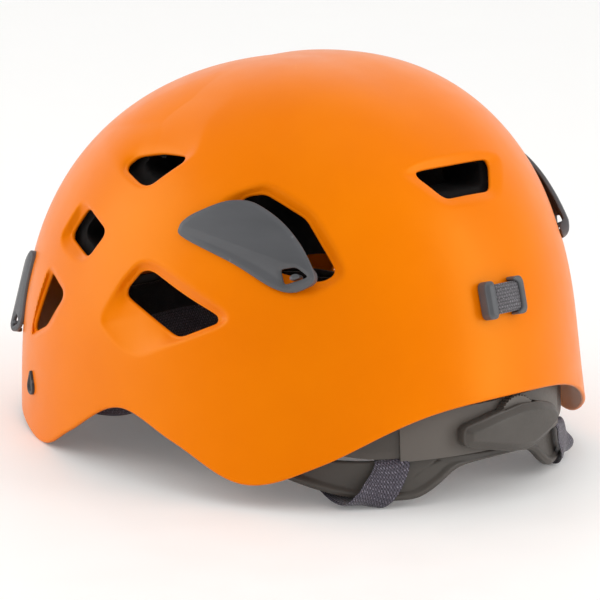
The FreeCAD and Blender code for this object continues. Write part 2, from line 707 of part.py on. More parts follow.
def build_webbing():
    """Webbing of each side: front tape to the ear slide, rear tape through the cradle to the ear."""
    wide, thick, radius = size("webbing_width"), size("webbing_thick"), size("arc_radius")
    front = [Vector(*p) for p in FRONT_TAPE]
    rear = [arc_point(angle, radius + out, z) for angle, out, z in REAR_TAPE]
    rear += [Vector(*p) for p in REAR_TAPE_END]
    across = [Vector(*p) for p in REAR_TAPE_ACROSS]
    tapes = {"front_webbing": ribbon(front, wide, thick), "rear_webbing": ribbon(rear, wide, thick, across)}
    for name, shape in tapes.items():
        for side, item in zip(("left", "right"), both_sides(shape)):
            solid_piece(f"{name}_{side}", item)


def ear_plate():
    """Ear slide: a plate with two slots for the webbing."""
    thick, half_long, half_tall, slot_half = 2.8, 15, 12, 8
    side = size("strap_side") + 1.4
    y, z = size("ear_set_back"), size("strap_level")
    plate = box_between(Vector(side, y - half_long, z - half_tall),
                        Vector(side + thick, y + half_long, z + half_tall))
    plate = plate.makeFillet(5, [e for e in plate.Edges if abs(e.Length - thick) < 0.01])
    for low, high in ((-11, -7.5), (7.5, 11)):
        plate = plate.cut(box_between(Vector(side - 1, y + low, z - slot_half),
                                      Vector(side + thick + 1, y + high, z + slot_half)))
    return plate


def chin_loop():
    """Chin strap, tucked inside the front rim as a loop on edge."""
    across, reach = size("strap_side"), size("strap_reach")
    y, z = size("ear_set_back"), size("strap_level")
    wide, half = size("webbing_width"), size("webbing_thick") / 2
    ring = half_ellipse(across + half, reach + half, y, z - wide / 2, wide)
    return ring.cut(half_ellipse(across - half, reach - half, y, z - wide / 2 - 1, wide + 2))


def half_ellipse(across, reach, y, low, tall):
    """Front half of an elliptic cylinder that reaches further to the front than to the side."""
    curve = Part.Ellipse(Vector(0, y + reach, low), Vector(across, y, low), Vector(0, y, low))
    disc = Part.Face(Part.Wire([curve.toShape()])).extrude(Vector(0, 0, tall))
    room = 2 * reach
    return disc.common(box_between(Vector(-room, y - room, low - 5), Vector(room, y, low + tall + 5)))


BUCKLE_ANGLE = 52


def buckle_frame():
    """Place of the buckle on the chin loop, its direction to the wearer's right, and outwards."""
    a, b = size("strap_side"), size("strap_reach")
    turn = math.radians(BUCKLE_ANGLE)
    place = Vector(a * math.cos(turn), size("ear_set_back") - b * math.sin(turn), size("strap_level"))
    along = Vector(-a * math.sin(turn), -b * math.cos(turn), 0).normalize()
    out = Vector(0, 0, 1).cross(along)
    return place + out * size("buckle_lift"), along, out


def buckle_placement():
    """The buckle's frame: along the strap, outwards and up."""
    place, along, out = buckle_frame()
    return Placement(place, Rotation(along, out, along.cross(out), "XYZ"))


def buckle_box(centre, lengths):
    """Box on the buckle's frame."""
    box = Part.makeBox(*lengths, Vector(*[c - side / 2 for c, side in zip(centre, lengths)]))
    box.Placement = buckle_placement()
    return box


def build_chin_webbing():
    loop = chin_loop()
    clear = buckle_box((-6.5, 0, 0), (29, 30, 30))
    parts = sorted(loop.cut(clear).Solids, key=lambda s: s.BoundBox.Center.x)
    solid_piece("chin_webbing_right", parts[0])
    solid_piece("chin_webbing_left", parts[-1])
    for name, shape in zip(("ear_slide_left", "ear_slide_right"), both_sides(ear_plate())):
        solid_piece(name, shape)


def build_buckle():
    """Side-release buckle: a socket with two windows, and a plug with two sprung arms."""
    housing = buckle_box((-7, 0, 0), (26, 8, 21))
    housing = housing.makeFillet(1.6, [e for e in housing.Edges if e.Length > 20])
    housing = housing.cut(buckle_box((-1, 0, 0), (26, 4.6, 17)))
    for up in (1, -1):
        housing = housing.cut(buckle_box((-4, 0, up * 10), (11, 10, 5)))
    solid_piece("buckle_socket", housing)
    frame = buckle_placement()
    tongue = driven_box("PlugTongue", frame, (4, 0, 0), (22, 3.4, 3.6))
    bar = driven_box("PlugBar", frame, (14, 0, 0), (6, 5, "Sizes.webbing_width + 4"))
    slot = driven_box("PlugSlot", frame, (15, 0, 0), (2.2, 8, "Sizes.webbing_width + 0.6"))
    plug = cut_out("buckle_plug", joined("PlugBody", [tongue, bar]), slot)
    finish_piece(plug, "buckle_plug")
    for word, up in (("upper", 1), ("lower", -1)):
        root = driven_box(f"ArmRoot_{word}", frame, (2.4, 0, up * 5.6), (16, 3.4, 2))
        catch = driven_box(f"ArmCatch_{word}", frame, (-3.4, 0, up * 6.9), (7, 3.4, 2.8))
        name = f"buckle_arm_{word}"
        finish_piece(joined(name, [root, catch]), name)


# ---------------------------------------------------------------- the whole helmet

def build_clips():
    for name, frame, flip in (("rear", REAR_CLIP, 1), ("front", FRONT_CLIP, -1)):
        for side, shape in zip(("left", "right"), both_sides(clip_shape(frame, flip))):
            solid_piece(f"clip_{name}_{side}", shape)


def build_helmet():
    build_shell()
    build_foam()
    build_crown_pad()
    build_headband()
    build_brow_pad()
    build_strap_anchors()
    build_clips()
    build_keeper()
    build_rear_band()
    build_nape_cradle()
    build_dial_cover()
    build_dial_wheel()
    build_pinion()
    build_axle()
    solid_piece("rack_left", rack_shape(1))
    solid_piece("rack_right", rack_shape(-1))
    build_detent()
    build_webbing()
    build_chin_webbing()
    build_buckle()


def check_and_write():
    """Stop on any failed object or shape, then write one file for each piece."""
    document.recompute()
    for item in document.Objects:
        if "Invalid" in item.State or "Error" in item.State:
            raise RuntimeError(f"{item.Label} failed: {item.State}")
    os.makedirs("parts", exist_ok=True)
    for item in PIECES:
        if item.Shape.isNull() or not item.Shape.isValid():
            raise RuntimeError(f"{item.Label} has no valid shape")
        item.Shape.exportStep(f"parts/{item.Label}.step")


build_helmet()
check_and_write()
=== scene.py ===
import json
import math

import bpy
import numpy as np
from mathutils import Matrix, Vector


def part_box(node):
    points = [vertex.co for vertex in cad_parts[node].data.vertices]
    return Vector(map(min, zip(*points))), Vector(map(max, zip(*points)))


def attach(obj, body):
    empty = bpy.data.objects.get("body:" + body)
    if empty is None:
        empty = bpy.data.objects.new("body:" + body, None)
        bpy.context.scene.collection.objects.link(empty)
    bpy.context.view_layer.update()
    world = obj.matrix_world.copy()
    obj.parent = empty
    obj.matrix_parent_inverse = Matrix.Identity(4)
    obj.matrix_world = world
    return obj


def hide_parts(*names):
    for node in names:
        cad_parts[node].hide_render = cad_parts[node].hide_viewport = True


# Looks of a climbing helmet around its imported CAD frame. Shapes are drawn in millimetres in the
# shell's own frame (X to the wearer's left, Y to the rear, Z up, z = 0 at the widest level), and
# ORIGIN takes them to the row's frame.

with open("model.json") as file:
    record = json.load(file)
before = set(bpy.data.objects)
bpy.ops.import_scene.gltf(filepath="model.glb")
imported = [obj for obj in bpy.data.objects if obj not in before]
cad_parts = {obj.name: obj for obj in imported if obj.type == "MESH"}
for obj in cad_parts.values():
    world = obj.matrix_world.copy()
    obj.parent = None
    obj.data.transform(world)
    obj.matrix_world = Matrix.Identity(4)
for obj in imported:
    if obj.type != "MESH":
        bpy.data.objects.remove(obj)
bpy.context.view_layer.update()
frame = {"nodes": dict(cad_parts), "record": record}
MM = 0.001
TINY = 1e-6
SIDES = ((1, "left"), (-1, "right"))


# ---- the shell's form

# Level sections are superellipses of PLAN_POWER. They shrink towards the crown by a profile whose
# power differs at the front, the rear and the sides, and the wall flares out below FLARE_TOP.
HALF_WIDTH, FRONT_LENGTH, REAR_LENGTH, CROWN_HEIGHT = 110.0, 136.9, 129.8, 156.0
PLAN_POWER, CROWN_POWER = 2.185, 2.606
FRONT_POWER, REAR_POWER, SIDE_POWER = 1.849, 1.961, 2.534
CROWN_SET_BACK = 9.2
FLARE_FRONT, FLARE_REAR, FLARE_TOP = 0.025, 0.088, 40.0
WALL, LIP_RADIUS = 2.0, 1.0
BISECTIONS = 24
# Start of the search for the shell in a side or rear view, from the middle of the helmet.
LIFT = 70.0


def shell_reach(angle, z, inset=0.0):
    """Distance of the shell from its axis at an angle and a level, as a share of its half axes."""
    cosine, sine = np.cos(angle), np.sin(angle)
    plan = (np.abs(cosine) ** PLAN_POWER + np.abs(sine) ** PLAN_POWER) ** (-1 / PLAN_POWER)
    end_power = np.where(sine > 0, REAR_POWER, FRONT_POWER)
    dome_power = end_power * sine ** 2 + SIDE_POWER * cosine ** 2
    rise = np.clip(z, 0, None) / (CROWN_HEIGHT - inset)
    scale = np.clip(1 - rise ** CROWN_POWER, 0, None) ** (1 / dome_power)
    flare = FLARE_FRONT + (FLARE_REAR - FLARE_FRONT) * (0.5 + 0.5 * sine) ** 2
    return plan * (scale + flare * (np.clip(FLARE_TOP - z, 0, None) / (2 * FLARE_TOP)) ** 2)


def shell_points(angle, z, inset=0.0):
    """Points of the shell at angles about Z and levels, moved in by inset."""
    angle, z = np.broadcast_arrays(angle, z)
    reach = shell_reach(angle, z, inset)
    length = np.where(np.sin(angle) > 0, REAR_LENGTH, FRONT_LENGTH) - inset
    rise = np.clip(z, 0, None) / (CROWN_HEIGHT - inset)
    return np.stack([(HALF_WIDTH - inset) * np.cos(angle) * reach,
                     length * np.sin(angle) * reach + CROWN_SET_BACK * rise ** 2, z], -1)


def shell_excess(points, inset=0.0):
    """How far outside the shell points lie, as a share of their distance from its axis."""
    x, y, z = np.moveaxis(points, -1, 0)
    rise = np.clip(z, 0, None) / (CROWN_HEIGHT - inset)
    back = y - CROWN_SET_BACK * rise ** 2
    side = x / (HALF_WIDTH - inset)
    end = back / (np.where(back > 0, REAR_LENGTH, FRONT_LENGTH) - inset)
    reach = shell_reach(np.arctan2(end, side), z, inset)
    return np.hypot(side, end) / np.maximum(reach, TINY) - 1


def shell_normals(angle, z):
    """Outward directions of the shell."""
    step = 0.01
    level = shell_points(angle + step, z) - shell_points(angle - step, z)
    upward = shell_points(angle, z + step) - shell_points(angle, z - step)
    normal = np.cross(level, upward)
    return normal / np.linalg.norm(normal, axis=-1, keepdims=True)


def on_shell(points, direction, inset=0.0, reach=30.0):
    """Points moved along a direction onto the shell."""
    low, high = np.full(points.shape[:-1], -reach), np.full(points.shape[:-1], reach)
    for _ in range(BISECTIONS):
        middle = (low + high) / 2
        outside = shell_excess(points + middle[..., None] * direction, inset) > 0
        low, high = np.where(outside, low, middle), np.where(outside, middle, high)
    return points + middle[..., None] * direction


def lifted(outline, axis):
    """Outline of a view along axis 0 (from the left) or 1 (from the rear) as 3-D points on the shell."""
    direction = np.eye(3)[axis]
    flat = np.insert(outline, axis, 0.0, axis=1)
    return on_shell(flat + LIFT * direction, direction, reach=LIFT - 1)


# ---- outlines

# A rounded corner takes at most this share of a side.
CORNER_SHARE = 0.48


def rounded(outline, radius, steps=5):
    """Closed outline with every corner rounded."""
    corners = np.asarray(outline, float)
    ring = []
    for before, corner, after in zip(np.roll(corners, 1, 0), corners, np.roll(corners, -1, 0)):
        start, end = before - corner, after - corner
        start *= min(radius / np.linalg.norm(start), CORNER_SHARE)
        end *= min(radius / np.linalg.norm(end), CORNER_SHARE)
        for t in np.linspace(0, 1, steps):
            ring.append(corner + start * (1 - t) ** 2 + end * t ** 2)
    return np.array(ring)


def smooth_line(points, steps, closed=False):
    """Smooth curve through points, with the given number of steps between neighbours."""
    points = np.asarray(points, float)
    if closed:
        points = np.vstack([points[-1:], points, points[:2]])
    else:
        points = np.vstack([2 * points[0] - points[1], points, 2 * points[-1] - points[-2]])
    curve = []
    for a, b, c, d in zip(points, points[1:], points[2:], points[3:]):
        for t in np.arange(steps) / steps:
            curve.append(0.5 * (2 * b + (c - a) * t + (2 * a - 5 * b + 4 * c - d) * t ** 2
                                + (3 * b - a - 3 * c + d) * t ** 3))
    if not closed:
        curve.append(points[-2])
    return np.array(curve)


def inside(points, outline):
    """Whether 2-D points lie in a closed outline."""
    result = np.zeros(len(points), bool)
    for (ax, ay), (bx, by) in zip(outline, np.roll(outline, -1, 0)):
        if ay == by:
            continue
        spans = (ay > points[:, 1]) != (by > points[:, 1])
        result ^= spans & (points[:, 0] < ax + (points[:, 1] - ay) * (bx - ax) / (by - ay))
    return result


def loop_distance(points, loop):
    """Distance of points to a closed line of the same dimension."""
    nearest = np.full(len(points), np.inf)
    for a, b in zip(loop, np.roll(loop, -1, 0)):
        side = b - a
        share = np.clip((points - a) @ side / max(side @ side, TINY), 0, 1)
        nearest = np.minimum(nearest, np.linalg.norm(points - a - share[:, None] * side, axis=1))
    return nearest


def depth_inside(points, outline):
    """Distance of 2-D points to an outline, positive inside it."""
    return np.where(inside(points, outline), 1, -1) * loop_distance(points, outline)


# Rim of the shell in the side view, as (y, z).
RIM_LINE = [(145, 19), (126, 15.5), (97, -4), (68, -13), (34, 2), (0, 13.5), (-36, -2),
            (-60, -11.5), (-92, -6), (-150, 6)]
RIM_CURVE = smooth_line(RIM_LINE, 10)[::-1]


def rim_level(y):
    """Level of the rim at a distance to the rear."""
    return np.interp(y, RIM_CURVE[:, 0], RIM_CURVE[:, 1])


def foremost_y():
    """Foremost y of the trimmed shell, which ties its frame to the row's frame."""
    points = shell_points(np.linspace(math.pi, 2 * math.pi, 721), np.linspace(-5, 30, 141)[:, None])
    return points[points[..., 2] > rim_level(points[..., 1])][:, 1].min()


SHELL_LOW, SHELL_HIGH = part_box("outer_shell")
ORIGIN = np.array([0, SHELL_LOW.y / MM - foremost_y(), SHELL_HIGH.z / MM - CROWN_HEIGHT])


# ---- meshes

# Grid points nearer than this to a cut count as kept, so that no slivers arise.
SNAP = 0.04
# A rolled edge: how often its border is evened, the largest radius as a share of the thickness, and its
# rings as (degrees from the front face, whether on the back's half).
BORDER_ROUNDS, ROLL_SHARE = 5, 0.49
ROLL_RINGS = ((30, False), (60, False), (90, False), (90, True), (120, True), (150, True))
# A tape's section: steps over its width, power of its superellipse, and least height of its ends.
TAPE_STEPS, TAPE_POWER, TAPE_END = 9, 10, 0.04


def staged(name, data):
    """New object in the scene."""
    piece = bpy.data.objects.new(name, data)
    bpy.context.scene.collection.objects.link(piece)
    return piece


def new_mesh(name, points, faces, body, slot, nodes=(), sharp=38):
    """Piece from points in the shell's frame. It rides on a body and stands for CAD nodes."""
    mesh = bpy.data.meshes.new(name)
    mesh.from_pydata(((np.asarray(points) + ORIGIN) * MM).tolist(), [], faces)
    mesh.validate()
    mesh.shade_smooth()
    mesh.set_sharp_from_angle(angle=math.radians(sharp))
    return dress(staged(name, mesh), body, slot, nodes)


def dress(piece, body, slot, nodes=()):
    """Body, material slot and replaced CAD nodes of a piece."""
    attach(piece, body)
    if nodes:
        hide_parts(*nodes)
    piece.data.materials.clear()
    piece.data.materials.append(MATERIALS[slot])
    return piece


def cut_grid(values, field, rows, cols, wrap=False):
    """Grid cells where field is positive, cut along its zero line. values hold a row for each point."""
    field = np.where(np.abs(field) < SNAP, SNAP, field)
    keep = field > 0
    extra, cuts = [], {}

    def crossing(a, b):
        key = (min(a, b), max(a, b))
        if key not in cuts:
            share = field[a] / (field[a] - field[b])
            cuts[key] = len(field) + len(extra)
            extra.append(values[a] + (values[b] - values[a]) * share)
        return cuts[key]

    row, col = np.mgrid[0:rows - 1, 0:cols if wrap else cols - 1]
    after = (col + 1) % cols
    low, high = row * cols, (row + 1) * cols
    cells = np.stack([low + col, low + after, high + after, high + col], -1).reshape(-1, 4)
    count = keep[cells].sum(1)
    faces = cells[count == 4].tolist()
    for cell in cells[(count > 0) & (count < 4)].tolist():
        ring = []
        for a, b in zip(cell, cell[1:] + cell[:1]):
            if keep[a]:
                ring.append(a)
            if keep[a] != keep[b]:
                ring.append(crossing(a, b))
        faces.append(ring)
    if extra:
        values = np.vstack([values, extra])
    return values, faces


def rolled_solid(front, back, faces, radius):
    """Points and faces of a solid between two sheets with the same faces, with round edges outside."""
    used = np.unique(np.concatenate([np.asarray(face) for face in faces]))
    place = np.full(len(front), -1)
    place[used] = np.arange(len(used))
    place = place.tolist()
    faces = [[place[i] for i in face] for face in faces]
    front, back, count = front[used], back[used], len(used)
    first, second, third = np.array([face[:3] for face in faces]).T
    winding = np.cross(front[second] - front[first], front[third] - front[first])
    if (winding * (front - back)[first]).sum() < 0:
        faces = [face[::-1] for face in faces]
    edges = set()
    for face in faces:
        edges.update(zip(face, face[1:] + face[:1]))
    border = {a: b for a, b in edges if (b, a) not in edges}
    rim = np.array(sorted(border))
    ahead, behind = np.arange(count), np.arange(count)
    ahead[rim] = [border[a] for a in rim.tolist()]
    behind[ahead[rim]] = rim
    for sheet in (front, back) * BORDER_ROUNDS:
        sheet[rim] = sheet[rim] / 2 + (sheet[ahead[rim]] + sheet[behind[rim]]) / 4
    thick = np.linalg.norm(front[rim] - back[rim], axis=1, keepdims=True)
    normal = (front[rim] - back[rim]) / thick
    out = np.cross(front[ahead[ahead[rim]]] - front[behind[behind[rim]]], normal)
    out /= np.maximum(np.linalg.norm(out, axis=1, keepdims=True), TINY)
    bend = np.minimum(radius, ROLL_SHARE * thick)
    points, layers = [front, back], [rim]
    for degrees, far in ROLL_RINGS:
        cosine, sine = math.cos(math.radians(degrees)), math.sin(math.radians(degrees))
        down = thick - bend * (1 + cosine) if far else bend * (1 - cosine)
        layers.append(2 * count + len(rim) * (len(layers) - 1) + np.arange(len(rim)))
        points.append(front[rim] + out * bend * sine - normal * down)
    layers.append(rim + count)
    order = np.zeros(count, int)
    order[rim] = np.arange(len(rim))
    after = order[ahead[rim]]
    skirt = [np.stack([high[after], high, low, low[after]], -1).tolist()
             for high, low in zip(layers, layers[1:])]
    under = [[i + count for i in reversed(face)] for face in faces]
    return np.vstack(points), faces + under + sum(skirt, [])


def plate(name, outline, place, top, bottom, body, slot, nodes=(), cell=0.5, holes=(), sharp=38,
          edge=0.5):
    """Solid over a flat outline. top and bottom give heights from u, v and the distance inside the
    outline, place turns u, v and a height into points, and edge is the radius of the rounded edge."""
    low, high = outline.min(0) - 1.5 * cell, outline.max(0) + 1.5 * cell
    cols, rows = [int(n) + 2 for n in (high - low) / cell]
    v, u = np.meshgrid(low[1] + np.arange(rows) * cell, low[0] + np.arange(cols) * cell, indexing="ij")
    flat = np.stack([u.ravel(), v.ravel()], -1)
    field = depth_inside(flat, outline)
    for hole in holes:
        field = np.minimum(field, -depth_inside(flat, hole))
    values, faces = cut_grid(np.column_stack([flat, field]), field - edge, rows, cols)
    u, v, depth = values[:, 0], values[:, 1], values[:, 2]
    front = place(u, v, top(u, v, depth) + 0 * u)
    back = place(u, v, bottom(u, v, depth) + 0 * u)
    return new_mesh(name, *rolled_solid(front, back, faces, edge), body, slot, nodes, sharp)


def round_edge(depth, radius):
    """Drop of a rounded edge at a distance inside it."""
    near = np.clip(radius - depth, 0, radius)
    return radius - np.sqrt(radius ** 2 - near ** 2)


def ribbon(name, path, widths, ups, thick, body, slot, nodes=(), steps=8):
    """Flat tape along a smooth path, with rounded edges and a map in millimetres whose u runs along."""
    path, widths, ups = [np.asarray(a, float) for a in (path, widths, ups)]
    count = len(path)
    widths = np.broadcast_to(widths, (count,))
    ups = np.broadcast_to(ups, (count, 3))
    line = smooth_line(np.column_stack([path, widths, ups]), steps)
    middle, wide, lift = line[:, :3], line[:, 3], line[:, 4:]
    along = np.gradient(middle, axis=0)
    along /= np.linalg.norm(along, axis=1, keepdims=True)
    out = np.cross(along, lift)
    out /= np.linalg.norm(out, axis=1, keepdims=True)
    lift = np.cross(out, along)
    section = []
    for side in (1, -1):
        for share in np.linspace(-1, 1, TAPE_STEPS):
            height = math.sqrt(max(1 - abs(share) ** TAPE_POWER, TAPE_END)) / 2
            section.append((side * share, side * height))
    section = np.array(section)
    rings = (middle[:, None] + lift[:, None] * (section[None, :, :1] * wide[:, None, None] / 2)
             + out[:, None] * (section[None, :, 1:] * thick))
    around = len(section)
    faces, maps = [], []
    travelled = np.concatenate([[0], np.cumsum(np.linalg.norm(np.diff(middle, axis=0), axis=1))])
    for i in range(len(line) - 1):
        for k in range(around):
            n = (k + 1) % around
            faces.append([i * around + k, i * around + n, (i + 1) * around + n, (i + 1) * around + k])
            across = [section[k, 0] * wide[i] / 2, section[n, 0] * wide[i] / 2]
            maps += [(travelled[i], across[0]), (travelled[i], across[1]),
                     (travelled[i + 1], across[1]), (travelled[i + 1], across[0])]
    last = (len(line) - 1) * around
    faces.append(list(range(around))[::-1])
    faces.append([last + k for k in range(around)])
    maps += [(0, 0)] * (2 * around)
    piece = new_mesh(name, rings.reshape(-1, 3), faces, body, slot, nodes, sharp=60)
    layer = piece.data.uv_layers.new(name="tape")
    layer.data.foreach_set("uv", np.array(maps, np.float32).ravel())
    return piece


# ---- materials

def linear(red, green, blue):
    """Linear colour from screen values of 0 to 255."""
    return tuple((c / 12.92 if c <= 0.04045 else ((c + 0.055) / 1.055) ** 2.4)
                 for c in (red / 255, green / 255, blue / 255)) + (1.0,)


class Nodes:
    """A node tree and short ways to add nodes to it."""

    def __init__(self, owner):
        owner.use_nodes = True
        self.tree = owner.node_tree

    def set(self, node, values):
        """Sets a node's inputs to values or links them to other nodes' outputs."""
        for key, value in values.items():
            if isinstance(value, bpy.types.NodeSocket):
                self.tree.links.new(value, node.inputs[key])
            else:
                node.inputs[key].default_value = value

    def node(self, kind, values=None, **settings):
        """New node with its settings and inputs."""
        node = self.tree.nodes.new(kind)
        for key, value in settings.items():
            setattr(node, key, value)
        self.set(node, values or {})
        return node

    def math(self, operation, a, b=0.0):
        return self.node("ShaderNodeMath", {0: a, 1: b}, operation=operation).outputs[0]

    def times(self, a, b):
        return self.math("MULTIPLY", a, b)


class Look(Nodes):
    """A material with its main shader, and patterns to drive it."""

    def __init__(self, name, colour, roughness, **settings):
        self.material = bpy.data.materials.new(name)
        super().__init__(self.material)
        self.shader = self.tree.nodes["Principled BSDF"]
        self.set(self.shader, {"Base Color": colour, "Roughness": roughness, **settings})
        self.place = self.node("ShaderNodeTexCoord").outputs["Object"]

    def noise(self, size_mm, detail=3.0, stretch=(1, 1, 1)):
        """Noise whose patches are about size_mm wide."""
        place = self.node("ShaderNodeVectorMath", {0: self.place, 1: stretch}, operation="MULTIPLY")
        values = {"Vector": place.outputs[0], "Scale": 1 / (size_mm * MM), "Detail": detail}
        return self.node("ShaderNodeTexNoise", values).outputs["Fac"]

    def cells(self, size_mm, feature="F1"):
        """Distance pattern of rounded cells about size_mm wide."""
        values = {"Vector": self.place, "Scale": 1 / (size_mm * MM)}
        return self.node("ShaderNodeTexVoronoi", values, feature=feature).outputs["Distance"]

    def ramp(self, value, low, high, out_low=0.0, out_high=1.0):
        """Value from low..high mapped onto out_low..out_high."""
        return self.node("ShaderNodeMapRange", {"Value": value, "From Min": low, "From Max": high,
                                                "To Min": out_low, "To Max": out_high}).outputs[0]

    def mix(self, share, a, b):
        """Colour between a and b."""
        return self.node("ShaderNodeMix", {0: share, 6: a, 7: b}, data_type="RGBA").outputs[2]

    def bump(self, height, depth_mm, strength=1.0):
        """Bump of a height pattern, in millimetres."""
        values = {"Height": height, "Distance": depth_mm * MM, "Strength": strength}
        self.set(self.shader, {"Normal": self.node("ShaderNodeBump", values).outputs[0]})

    def edges(self):
        """Near 1 on convex edges."""
        point = self.node("ShaderNodeNewGeometry").outputs["Pointiness"]
        return self.ramp(point, 0.52, 0.62)


def shell_look():
    """Satin orange shell plastic, whose colour drifts a little, with a painted highlight on its edges."""
    look = Look("shell_plastic", linear(246, 122, 0), 0.35,
                **{"Specular Tint": (1.0, 0.8, 0.08, 1.0), "Specular IOR Level": 0.4})
    drift = look.ramp(look.noise(45), 0.3, 0.7)
    tone = look.mix(drift, linear(243, 121, 0), linear(248, 127, 0))
    # Paler on convex edges: a painted highlight.
    edge_highlight = look.mix(look.times(look.edges(), 0.2), tone, linear(255, 150, 50))
    haze = look.ramp(look.noise(9, 5), 0.3, 0.75, 0.3, 0.36)
    look.set(look.shader, {"Base Color": edge_highlight, "Roughness": haze})
    look.bump(look.noise(14, 3), 0.03, 0.4)
    return look.material


def moulded_look(name, colour, roughness, grain_mm, edge_highlight):
    """Moulded plastic with a fine grain, faint flow marks and a painted highlight on its edges."""
    look = Look(name, colour, roughness)
    flow = look.noise(18, 4, stretch=(1, 0.4, 2))
    lighter = tuple(min(c * 1.18, 1) for c in colour)
    tone = look.mix(look.ramp(flow, 0.3, 0.7), colour, lighter)
    # Lighter on convex edges: a painted highlight.
    tone = look.mix(look.times(look.edges(), 0.5), tone, edge_highlight)
    rough = look.ramp(look.noise(grain_mm * 3, 4), 0.3, 0.7, roughness - 0.05, roughness + 0.07)
    look.set(look.shader, {"Base Color": tone, "Roughness": rough})
    look.bump(look.noise(grain_mm, 2), 0.03, 0.5)
    return look.material


def foam_look():
    """Moulded bead foam: rounded beads pressed against each other."""
    look = Look("liner_foam", linear(20, 18, 18), 0.9)
    beads = look.cells(3.4)
    tone = look.mix(look.ramp(beads, 0.1, 0.6), linear(15, 13, 13), linear(6, 5, 5))
    look.set(look.shader, {"Base Color": tone})
    look.bump(look.math("SUBTRACT", 1.0, beads), 0.3, 0.5)
    return look.material


def pad_look():
    """Brushed knit over foam."""
    look = Look("pad_fabric", linear(48, 47, 50), 0.9, **{"Sheen Weight": 0.5, "Sheen Roughness": 0.4})
    knit = look.cells(0.9, "DISTANCE_TO_EDGE")
    cloud = look.noise(7, 5)
    shade = look.times(look.ramp(knit, 0.0, 0.35, 0.55), look.ramp(cloud, 0.3, 0.7, 0.8, 1.15))
    tone = look.mix(shade, linear(18, 18, 20), linear(58, 57, 61))
    look.set(look.shader, {"Base Color": tone})
    look.bump(look.math("ADD", knit, look.times(cloud, 0.3)), 0.25, 0.8)
    return look.material


def weave_look(name, dark, light, pitch_mm, rows_mm, slant, fleck):
    """Ribbed tape: warp threads along it, weft rows across it and pale flecks, on the tape's own map. Rib
    crests are lighter and grooves darker, partly painted highlight and shade.
    """
    look = Look(name, dark, 0.6, **{"Sheen Weight": 0.35, "Sheen Roughness": 0.35})
    place = look.node("ShaderNodeUVMap", uv_map="tape").outputs[0]
    split = look.node("ShaderNodeSeparateXYZ", {0: place})
    along, across = split.outputs[0], split.outputs[1]
    row = look.math("ADD", along, look.times(across, slant))
    turn = 2 * math.pi
    warp = look.math("SINE", look.times(across, turn / pitch_mm))
    shift = look.times(look.math("SIGN", warp), 0.25 * turn)
    weft = look.math("SINE", look.math("ADD", look.times(row, turn / rows_mm), shift))
    ribs = look.math("ADD", look.times(look.math("ABSOLUTE", warp), 0.45),
                     look.times(look.math("ABSOLUTE", weft), 0.55))
    spots = look.node("ShaderNodeTexNoise", {"Vector": place, "Scale": 2.1, "Detail": 2.0})
    pale = look.times(look.ramp(spots.outputs["Fac"], 0.5, 0.62), look.ramp(weft, 0.2, 0.9))
    # Lighter on the rib crests and darker in the grooves of the bump: painted highlight and shade over the
    # dark and light threads.
    tone = look.mix(look.ramp(ribs, 0.2, 0.9), dark, light)
    look.set(look.shader, {"Base Color": look.mix(look.times(pale, 0.55), tone, fleck)})
    look.set(look.shader, {"Roughness": look.ramp(ribs, 0.1, 0.9, 0.75, 0.5)})
    look.bump(ribs, 0.28, 0.9)
    return look.material


def steel_look():
    """Spring steel with streaks from rolling."""
    look = Look("spring_steel", (0.55, 0.55, 0.56, 1.0), 0.3, Metallic=1.0)
    streak = look.noise(0.6, 3, stretch=(1, 1, 8))
    look.set(look.shader, {"Roughness": look.ramp(streak, 0.3, 0.7, 0.22, 0.4)})
    look.bump(streak, 0.01, 0.5)
    return look.material


# Moulded plastics: colour, roughness, grain in millimetres and colour of the painted highlight on edges.
PLASTICS = {
    "headband_plastic": (linear(62, 60, 59), 0.5, 0.5, linear(110, 108, 106)),
    "fitting_plastic": (linear(52, 51, 53), 0.42, 0.6, linear(105, 103, 104)),
    "clip_plastic": (linear(84, 85, 88), 0.42, 0.5, linear(125, 126, 130)),
    "rear_unit_plastic": (linear(76, 71, 66), 0.45, 0.5, linear(118, 111, 104)),
    "gear_plastic": (linear(96, 92, 88), 0.4, 0.5, linear(150, 146, 140)),
}
# Tapes: dark and light thread, where the light also paints a highlight on rib crests and the dark a shade in
# the grooves, pitch of the ribs and rows in millimetres, slant of the rows and flecks.
WEAVES = {
    "webbing": (linear(30, 27, 34), linear(88, 82, 95), 2.5, 2.2, 0.45, linear(190, 184, 200)),
    "elastic": (linear(30, 29, 33), linear(104, 100, 104), 2.9, 1.4, 0.0, linear(205, 203, 212)),
}
MATERIALS = {"shell_plastic": shell_look(), "liner_foam": foam_look(), "pad_fabric": pad_look(),
             "spring_steel": steel_look()}
MATERIALS.update({name: moulded_look(name, *values) for name, values in PLASTICS.items()})
MATERIALS.update({name: weave_look(name, *values) for name, values in WEAVES.items()})


# ---- hard shell

SIDE_VENTS = {
    "upper": [(-15.5, 114.4), (-10.2, 118.4), (5, 120.8), (19, 120.6), (4, 109.3), (-1, 109.4)],
    "front_upper": [(-34, 94.7), (-17, 87.2), (-26.3, 76.5), (-43.2, 83.1)],
    "front_lower": [(-57, 64.1), (-42.8, 57.4), (-58.5, 42.3), (-73, 37.1)],
    "middle": [(3.3, 63.7), (12, 73.1), (17.7, 73.2), (55, 56.5), (35.5, 48.5)],
    "rear": [(55.2, 106.2), (62.9, 107.8), (81, 97.9), (95.6, 76.7), (91.3, 73.8), (74, 79), (55, 96)],
}
